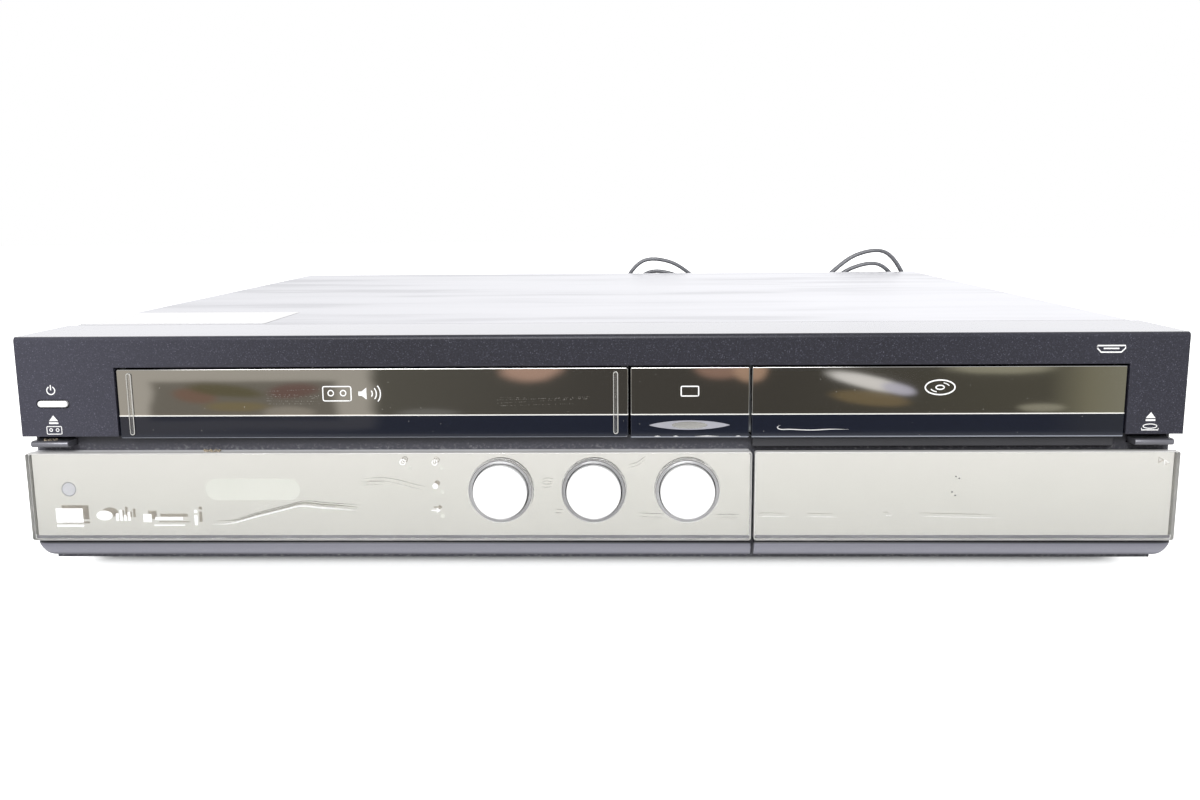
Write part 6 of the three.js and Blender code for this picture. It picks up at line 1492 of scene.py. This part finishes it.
class RECORDER_OT_marks(bpy.types.Operator):
    """Print the plain signs and lay the scratches and dust of use on the front"""

    bl_idname = "recorder.marks"
    bl_label = "Signs and wear"

    def execute(self, context):
        flat_piece("fascia_signs", self.fascia_signs(node_box("front_fascia")[0].y - 0.02), "white_ink", "case")
        y = node_box("centre_window")[0].y - 0.02
        flat_piece("cassette_sign", self.window_signs(y), "white_ink", "tape_door")
        screen = rounded_outline(31.9, 38.3, 73.5, 77.1, 0.4, 4)
        flat_piece("wide_screen_sign", [loop(screen, 0.45, y)], "white_ink", "case")
        flat_piece("window_dotted_rubs", self.dotted_rubs(y), "scuff", "tape_door")
        flat_piece("tray_front_scratch", [stroke(curve(HOOK), 0.34, y, True)], "scratch", "tray")
        chips = [stroke([(a, 58.35), ((a + b) / 2, 58.45), (b, 58.35)], 0.36, y, True) for a, b in CHIPS]
        flat_piece("centre_window_chips", chips, "scratch", "case")
        flat_piece("disc_sign", self.disc_sign(126.4, 76.4, y), "white_ink", "tray")
        # Prints and rubs lie on the front of the clear sheet, and the film mirrors their backs
        y = node_box("lower_panel")[0].y - 0.015
        flat_piece("panel_prints", self.panel_signs(y) + self.light_signs(y), "panel_ink", "case")
        x, z = 210.1, 48.2
        arrow = loop([(x - 0.9, z - 1.0), (x + 0.9, z), (x - 0.9, z + 1.0)], 0.36, y)
        flat_piece("flip_door_arrow", [arrow], "panel_ink", "flip_door")
        self.add_scratches(y)
        return {"FINISHED"}

    def panel_signs(self, y):
        """Plain blocks, a disc and sound bars low on the left panel."""
        x, z = PANEL_SIGNS_AT
        disc = patch(arc_points(x + 18.6, z + 1.4, 3.1, 0, 345, 23, 0.62), y)
        return [block(x, z, *sides, y) if sides else disc for sides in PANEL_SIGNS]

    def light_signs(self, y):
        """By the lights: power, record, link, and one for the timer."""
        x = LIGHT_SIGNS_X
        return [
            stroke(arc_points(x, 48.7, 0.95, 118, 422, 16), 0.3, y),
            stroke([(x, 50.0), (x, 48.8)], 0.3, y),
            stroke(arc_points(x - 12, 48.9, 1.0, 0, 360, 20), 0.3, y),
            stroke([(x - 12, 49.5), (x - 12, 48.9), (x - 11.5, 48.9)], 0.28, y),
            patch(arc_points(x, 39.7, 1.05, 0, 345, 23), y),
            stroke([(x - 1.7, 30.3), (x + 0.5, 30.3)], 0.45, y),
            patch([(x + 0.3, 29.3), (x + 1.7, 30.3), (x + 0.3, 31.3)], y),
        ]

    def fascia_signs(self, y):
        # Power: a broken ring and a stroke
        shapes = [stroke(arc_points(POWER_SIGN_X, 76.5, 1.5, 118, 422), 0.42, y)]
        shapes.append(stroke([(POWER_SIGN_X, 78.6), (POWER_SIGN_X, 76.6)], 0.42, y))
        # Eject: a triangle over a bar, at the lever under each end
        for x in (POWER_SIGN_X, TRAY_SIGN_X):
            shapes.append(patch([(x - 1.75, 64.9), (x + 1.75, 64.9), (x, 67.1)], y))
            shapes.append(block(x, 0, -1.75, 1.75, 63.8, 64.45, y))
        shapes += self.cassette_sign(POWER_SIGN_X, 61.4, 5.6, 2.9, y, 0.3)
        # A socket's outline, where the header tells of the digital output
        shell = [(182.0, 91.6), (182.0, 90.6), (183.4, 89.2), (190.6, 89.2), (192.0, 90.6), (192.0, 91.6)]
        shapes.append(loop(shell, 0.5, y))
        shapes.append(block(0, 0, 184.2, 189.8, 90.3, 90.8, y))
        # Tray: a flat disc over a drawer
        shapes.append(stroke(arc_points(TRAY_SIGN_X, 61.9, 2.5, 0, 360, 32, 0.32), 0.3, y))
        shapes.append(stroke([(199.9, 61.2), (199.9, 60.5), (205.9, 60.5), (205.9, 61.2)], 0.35, y))
        return shapes

    def window_signs(self, y):
        """A framed cassette, and beside it the sign of sound."""
        horn = [(-87.6, 74.0), (-86.4, 74.0), (-84.6, 72.6), (-84.6, 77.0), (-86.4, 75.6), (-87.6, 75.6)]
        waves = [stroke(arc_points(-84.2, 74.8, radius, -38, 38, 12), 0.42, y) for radius in (1.8, 3.3, 4.8)]
        return [*self.cassette_sign(-95.6, 74.8, 10.5, 5.4, y, 0.42), patch(horn, y), *waves]

    def dotted_rubs(self, y):
        """Lay the rows of dots, drawn twice as wide as they are so that they show."""
        chance = random.Random(7)
        shapes = []
        for x0, x1, z0, z1, rows, count in DOTTED_RUBS:
            for row in range(rows):
                slope = chance.uniform(-0.03, 0.06)
                start = z0 + (z1 - z0) * (row + chance.random()) / rows
                for _ in range(count):
                    x = chance.uniform(x0, x1)
                    half = chance.uniform(0.04, 0.11)
                    shapes.append(block(x, start + slope * (x - x0), -half, half, -half, half, y))
        return shapes

    def cassette_sign(self, x, z, width, height, y, line):
        outline = rounded_outline(
            x - width / 2, x + width / 2, z - height / 2, z + height / 2, height * 0.12, 4
        )
        shapes = [loop(outline, line, y)]
        for reel in (x - width * 0.22, x + width * 0.22):
            shapes.append(stroke(arc_points(reel, z + height * 0.04, height * 0.19, 0, 360), line, y))
        return shapes

    def disc_sign(self, x, z, y):
        # The disc's rim and hub, and a glint on either side: radius, from and to in degrees, steps, line
        rings = [
            (5.4, 0, 360, 48, 0.5), (1.5, 0, 360, 48, 0.45), (3.5, 20, 70, 12, 0.35), (3.5, 200, 250, 12, 0.35),
        ]
        return [
            stroke(arc_points(x, z, radius, start, end, steps, 0.5), line, y)
            for radius, start, end, steps, line in rings
        ]

    def add_scratches(self, y):
        main = curve(PANEL_SCRATCH)
        # A grey line up and to the right of the scratch's latter part is its painted shadow
        shadow_of_scratch = [(x + 0.5, z + 0.75) for x, z in main[6:]]
        flat_piece("panel_scratch", [stroke(main, 0.55, y, True)], "scratch", "case")
        flat_piece("panel_scratch_painted_shadow", [stroke(shadow_of_scratch, 0.3, y, True)], "scuff", "case")
        faint = [stroke(curve(points, 8), 0.22, y, True) for points in PANEL_SCUFFS]
        flat_piece("panel_scuffs", faint, "scuff", "case")
        self.add_crumbs("panel_dust_crumbs", -145.8, 52.4, "case")
        self.add_crumbs("lever_dust_crumbs", -206.5, 56.7, "tape_eject_tab")
        door = [stroke(curve(points, 8), 0.2, y, True) for points in DOOR_SCUFFS]
        flat_piece("flip_door_scuffs", door, "scratch", "flip_door")
        film_y = y + 0.025 + bpy.context.scene.recorder_front.acrylic / MM
        # The pinholes are flat specks on the film, painted near black as the shade inside a hole
        specks = [patch(round_outline(x, z, 0.3, 8), film_y) for x, z in PINHOLES]
        flat_piece("flip_door_specks", specks, "deep", "flip_door")

    def add_crumbs(self, name, x, z, body):
        """A little heap of brown house dust in the neck, grains 0.3 to 0.7 mm."""
        chance = random.Random(int(x))
        shapes = []
        for _ in range(26):
            cx, cy = x + chance.gauss(0, 1.5), -188.6 + chance.uniform(-1.2, 1.2)
            size = chance.uniform(0.14, 0.36)
            place = Vector((cx, cy, z + size * 0.5 + chance.uniform(0, 0.35)))
            points, faces = box(-size, size, -size, size, -size * 0.7, size * 0.7)
            turn = Matrix.Rotation(chance.uniform(0, 3), 3, "Z") @ Matrix.Rotation(chance.uniform(0, 1), 3, "X")
            shapes.append(([tuple(turn @ Vector(p) + place) for p in points], faces))
        link_piece(name, build_mesh(name, gather(shapes)), "crumbs", body)


# Sockets, screws and inner details

TO_THE_BACK = (-math.pi / 2, 0, 0)
TO_THE_FRONT = (math.pi / 2, 0, 0)
UPWARDS = (0, 0, 0)
RING_COLOURS = ("yellow", "white", "red")


class RECORDER_OT_back(bpy.types.Operator):
    """Add the screws, the coloured socket rings and the threads at the back"""

    bl_idname = "recorder.back"
    bl_label = "Back"

    def execute(self, context):
        sizes = context.scene.recorder_inside
        radius = sizes.screw / MM
        low, high = node_box("rear_panel")
        rows = [(x, high.y, high.z - 5.5) for x in (-196, -66, 66, 196)]
        rows += [(x, high.y, low.z + 8) for x in (-200, -30, 60, 200)]
        repeat_pieces("rear_screws", "screw", rows, TO_THE_BACK, radius, 1.3, "zinc")
        low, high = node_box("top_cover")
        for side, x, turn in (("left", low.x, -math.pi / 2), ("right", high.x, math.pi / 2)):
            places = [(x, y, 22.0) for y in (-128.0, 20.0, 166.0)]
            repeat_pieces("side_screws_" + side, "screw", places, (0, turn, 0), radius, 0.9, "zinc")
        self.add_rings()
        self.add_threads(sizes.thread_turns)
        return {"FINISHED"}

    def add_rings(self):
        low, high = node_box("rear_sockets")
        for row, colour in enumerate(RING_COLOURS):
            z = high.z - 11.5 - row * (high.z - low.z - 23) / 2
            places = [(low.x + 46 + i * 17.5, 187.0, z) for i in range(4)]
            repeat_pieces("phono_rings_" + colour, "ring", places, TO_THE_FRONT, 4.9, 0.75, colour)
        z = node_middle("round_key_left")[2]
        for i, colour in enumerate(RING_COLOURS):
            places = [(80.7 + 16.65 * i, -171.3, z)]
            repeat_pieces("front_phono_ring_" + colour, "ring", places, TO_THE_FRONT, 4.35, 0.5, colour)

    def add_threads(self, turns):
        """Wind a thread round each aerial socket."""
        low, high = node_box("tuner_block")
        start, end = 188.2, high.y - 0.1
        step = (end - start) / turns
        profile = [(start, 4.7)]
        for n in range(turns):
            profile += [(start + n * step, 4.82), (start + (n + 0.5) * step, 5.15)]
        profile += [(end, 4.82), (end, 4.7)]
        x = node_middle("tuner_block")[0]
        heights = [low.z + 7.5 + i * (high.z - low.z - 15) / 3 for i in range(4)]
        shapes = [lathe(profile, (x, 0, z), "y", 32, capped=False) for z in heights]
        link_piece("aerial_threads", build_mesh("aerial_threads", gather(shapes), 60), "nickel", "case")


class RECORDER_OT_inside(bpy.types.Operator):
    """Add the details of the tape deck, the boards, the hard drive and the disc drive"""

    bl_idname = "recorder.inside"
    bl_label = "Inside"

    def execute(self, context):
        self.add_deck_screws()
        self.add_roller()
        self.add_chip_legs()
        self.add_drive_lid()
        self.add_drum_rim()
        self.add_lens()
        return {"FINISHED"}

    def add_deck_screws(self):
        low, high = node_box("deck_plate")
        across = (low.x + 6, high.x - 6)
        places = [(x, y, low.z + 11.1) for x in across for y in (low.y + 60, high.y - 6)]
        repeat_pieces("deck_screws", "screw", places, UPWARDS, 2.6, 1.1, "zinc")
        low, high = node_box("hard_drive")
        across, along = (low.x + 6, high.x - 6), (low.y + 9, (low.y + high.y) / 2, high.y - 9)
        places = [(x, y, high.z) for x in across for y in along]
        repeat_pieces("hard_drive_screws", "screw", places, UPWARDS, 2.2, 0.5, "zinc")

    def add_roller(self):
        """A rubber sleeve on the pinch arm's roller, 24 mm from the arm's pivot."""
        top = node_box("pinch_arm")[1].z
        turn = math.radians(276.7)
        place = (-2 + 24 * math.cos(turn), 36 + 24 * math.sin(turn), 0)
        section = ((16.6, 6.4), (16.6, 6.62), (16.2, 6.8), (0.5, 6.8), (0.1, 6.62), (0.1, 6.4))
        profile = [(top - down, radius) for down, radius in section]
        name = "pinch_roller_sleeve"
        mesh = build_mesh(name, lathe(profile, place, "z", 48, capped=False))
        link_piece(name, mesh, "rubber", "pinch_arm")

    def add_chip_legs(self):
        """Rows of chip legs on the main board, 1 mm wide and 2 mm apart."""
        low, high = node_box("main_board")
        wide, deep = high.x - low.x, high.y - low.y
        places = []
        for share in (0.08, 0.3, 0.62):
            start = low.x + wide * share
            count = int((low.x + wide * (share + 0.09) - start - 2) / 2)
            for i in range(count):
                for y in (low.y + deep * 0.2 - 0.5, low.y + deep * 0.42 + 0.5):
                    places.append((start + 2 + i * 2, y, 26.0))
        repeat_pieces("chip_legs", "fin", places, UPWARDS, 1.0, 0.8, "zinc")

    def add_drive_lid(self):
        """A blank label and the round spindle cap on the hard drive."""
        top = node_box("hard_drive")[1].z
        x, y, _ = node_middle("hard_drive")
        outline = rounded_outline(x - 30, x + 30, y - 52, y - 8, 1.5)
        plate_piece("hard_drive_label", "case", "paper", [outline], top, top + PAPER, axis="z")
        section = ((0, 17), (0.25, 16.8), (0.3, 13), (0.1, 12.6), (0.1, 0))
        profile = [(top + up, radius) for up, radius in section]
        name = "hard_drive_spindle_cap"
        link_piece(name, build_mesh(name, lathe(profile, (x, y + 30, 0), "z", 64)), "turned", "case")

    def add_drum_rim(self):
        """A bright upper rim on the head drum, tilted with it."""
        profile = [(0.0, 29.6), (0.35, 29.6), (0.35, 24.0), (0.0, 24.0)]
        points, faces = lathe(profile, (0, 0, 9.5), "z", 96, capped=False)
        tilt = Matrix.Rotation(math.radians(-5), 3, "X")
        centre = Vector(node_middle("head_drum"))
        shape = [tuple(centre + tilt @ Vector(p)) for p in points], faces
        link_piece("drum_upper_rim", build_mesh("drum_upper_rim", shape), "gold", "head_drum")

    def add_lens(self):
        """The glass lens on the laser sled."""
        top = node_box("laser_sled")[1].z
        x, y, _ = node_middle("laser_sled")
        profile = [(top + up, radius) for up, radius in ((0.06, 0), (0.05, 1.2), (0.01, 2.2), (-0.2, 2.2))]
        mesh = build_mesh("pickup_lens", lathe(profile, (x, y, 0), "z", 32))
        link_piece("pickup_lens", mesh, "lens", "laser_sled")


# Sidebar and start

class RECORDER_PT_sidebar(bpy.types.Panel):
    """List the steps and their sizes"""

    bl_idname = "RECORDER_PT_sidebar"
    bl_label = "Recorder"
    bl_space_type = "VIEW_3D"
    bl_region_type = "UI"
    bl_category = "Recorder"

    def draw(self, context):
        layout = self.layout
        for name in SIZES:
            sizes = getattr(context.scene, name)
            for key in sizes.bl_rna.properties.keys():
                if key not in {"rna_type", "name"}:
                    layout.prop(sizes, key)
        for step in STEPS:
            layout.operator(step.bl_idname)


SIZES = {
    "recorder_studio": StudioSizes,
    "recorder_lead": LeadSizes,
    "recorder_case": CaseSizes,
    "recorder_front": FrontSizes,
    "recorder_inside": InsideSizes,
}
STEPS = (
    RECORDER_OT_finishes,
    RECORDER_OT_studio,
    RECORDER_OT_lead,
    RECORDER_OT_case,
    RECORDER_OT_windows,
    RECORDER_OT_panels,
    RECORDER_OT_keys,
    RECORDER_OT_marks,
    RECORDER_OT_back,
    RECORDER_OT_inside,
)


def register():
    """Register the sizes, the steps and the sidebar."""
    for name, group in SIZES.items():
        bpy.utils.register_class(group)
        setattr(bpy.types.Scene, name, PointerProperty(type=group))
    for step in (*STEPS, RECORDER_PT_sidebar):
        bpy.utils.register_class(step)


def unregister():
    """Take back what register did."""
    for step in (RECORDER_PT_sidebar, *reversed(STEPS)):
        bpy.utils.unregister_class(step)
    for name, group in reversed(list(SIZES.items())):
        delattr(bpy.types.Scene, name)
        bpy.utils.unregister_class(group)


def main():
    """Run every step in order."""
    register()
    steps = bpy.ops.recorder
    steps.finishes()
    steps.studio()
    steps.lead()
    steps.case()
    steps.windows()
    steps.panels()
    steps.keys()
    steps.marks()
    steps.back()
    steps.inside()
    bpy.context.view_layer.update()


if __name__ == "__main__":
    main()
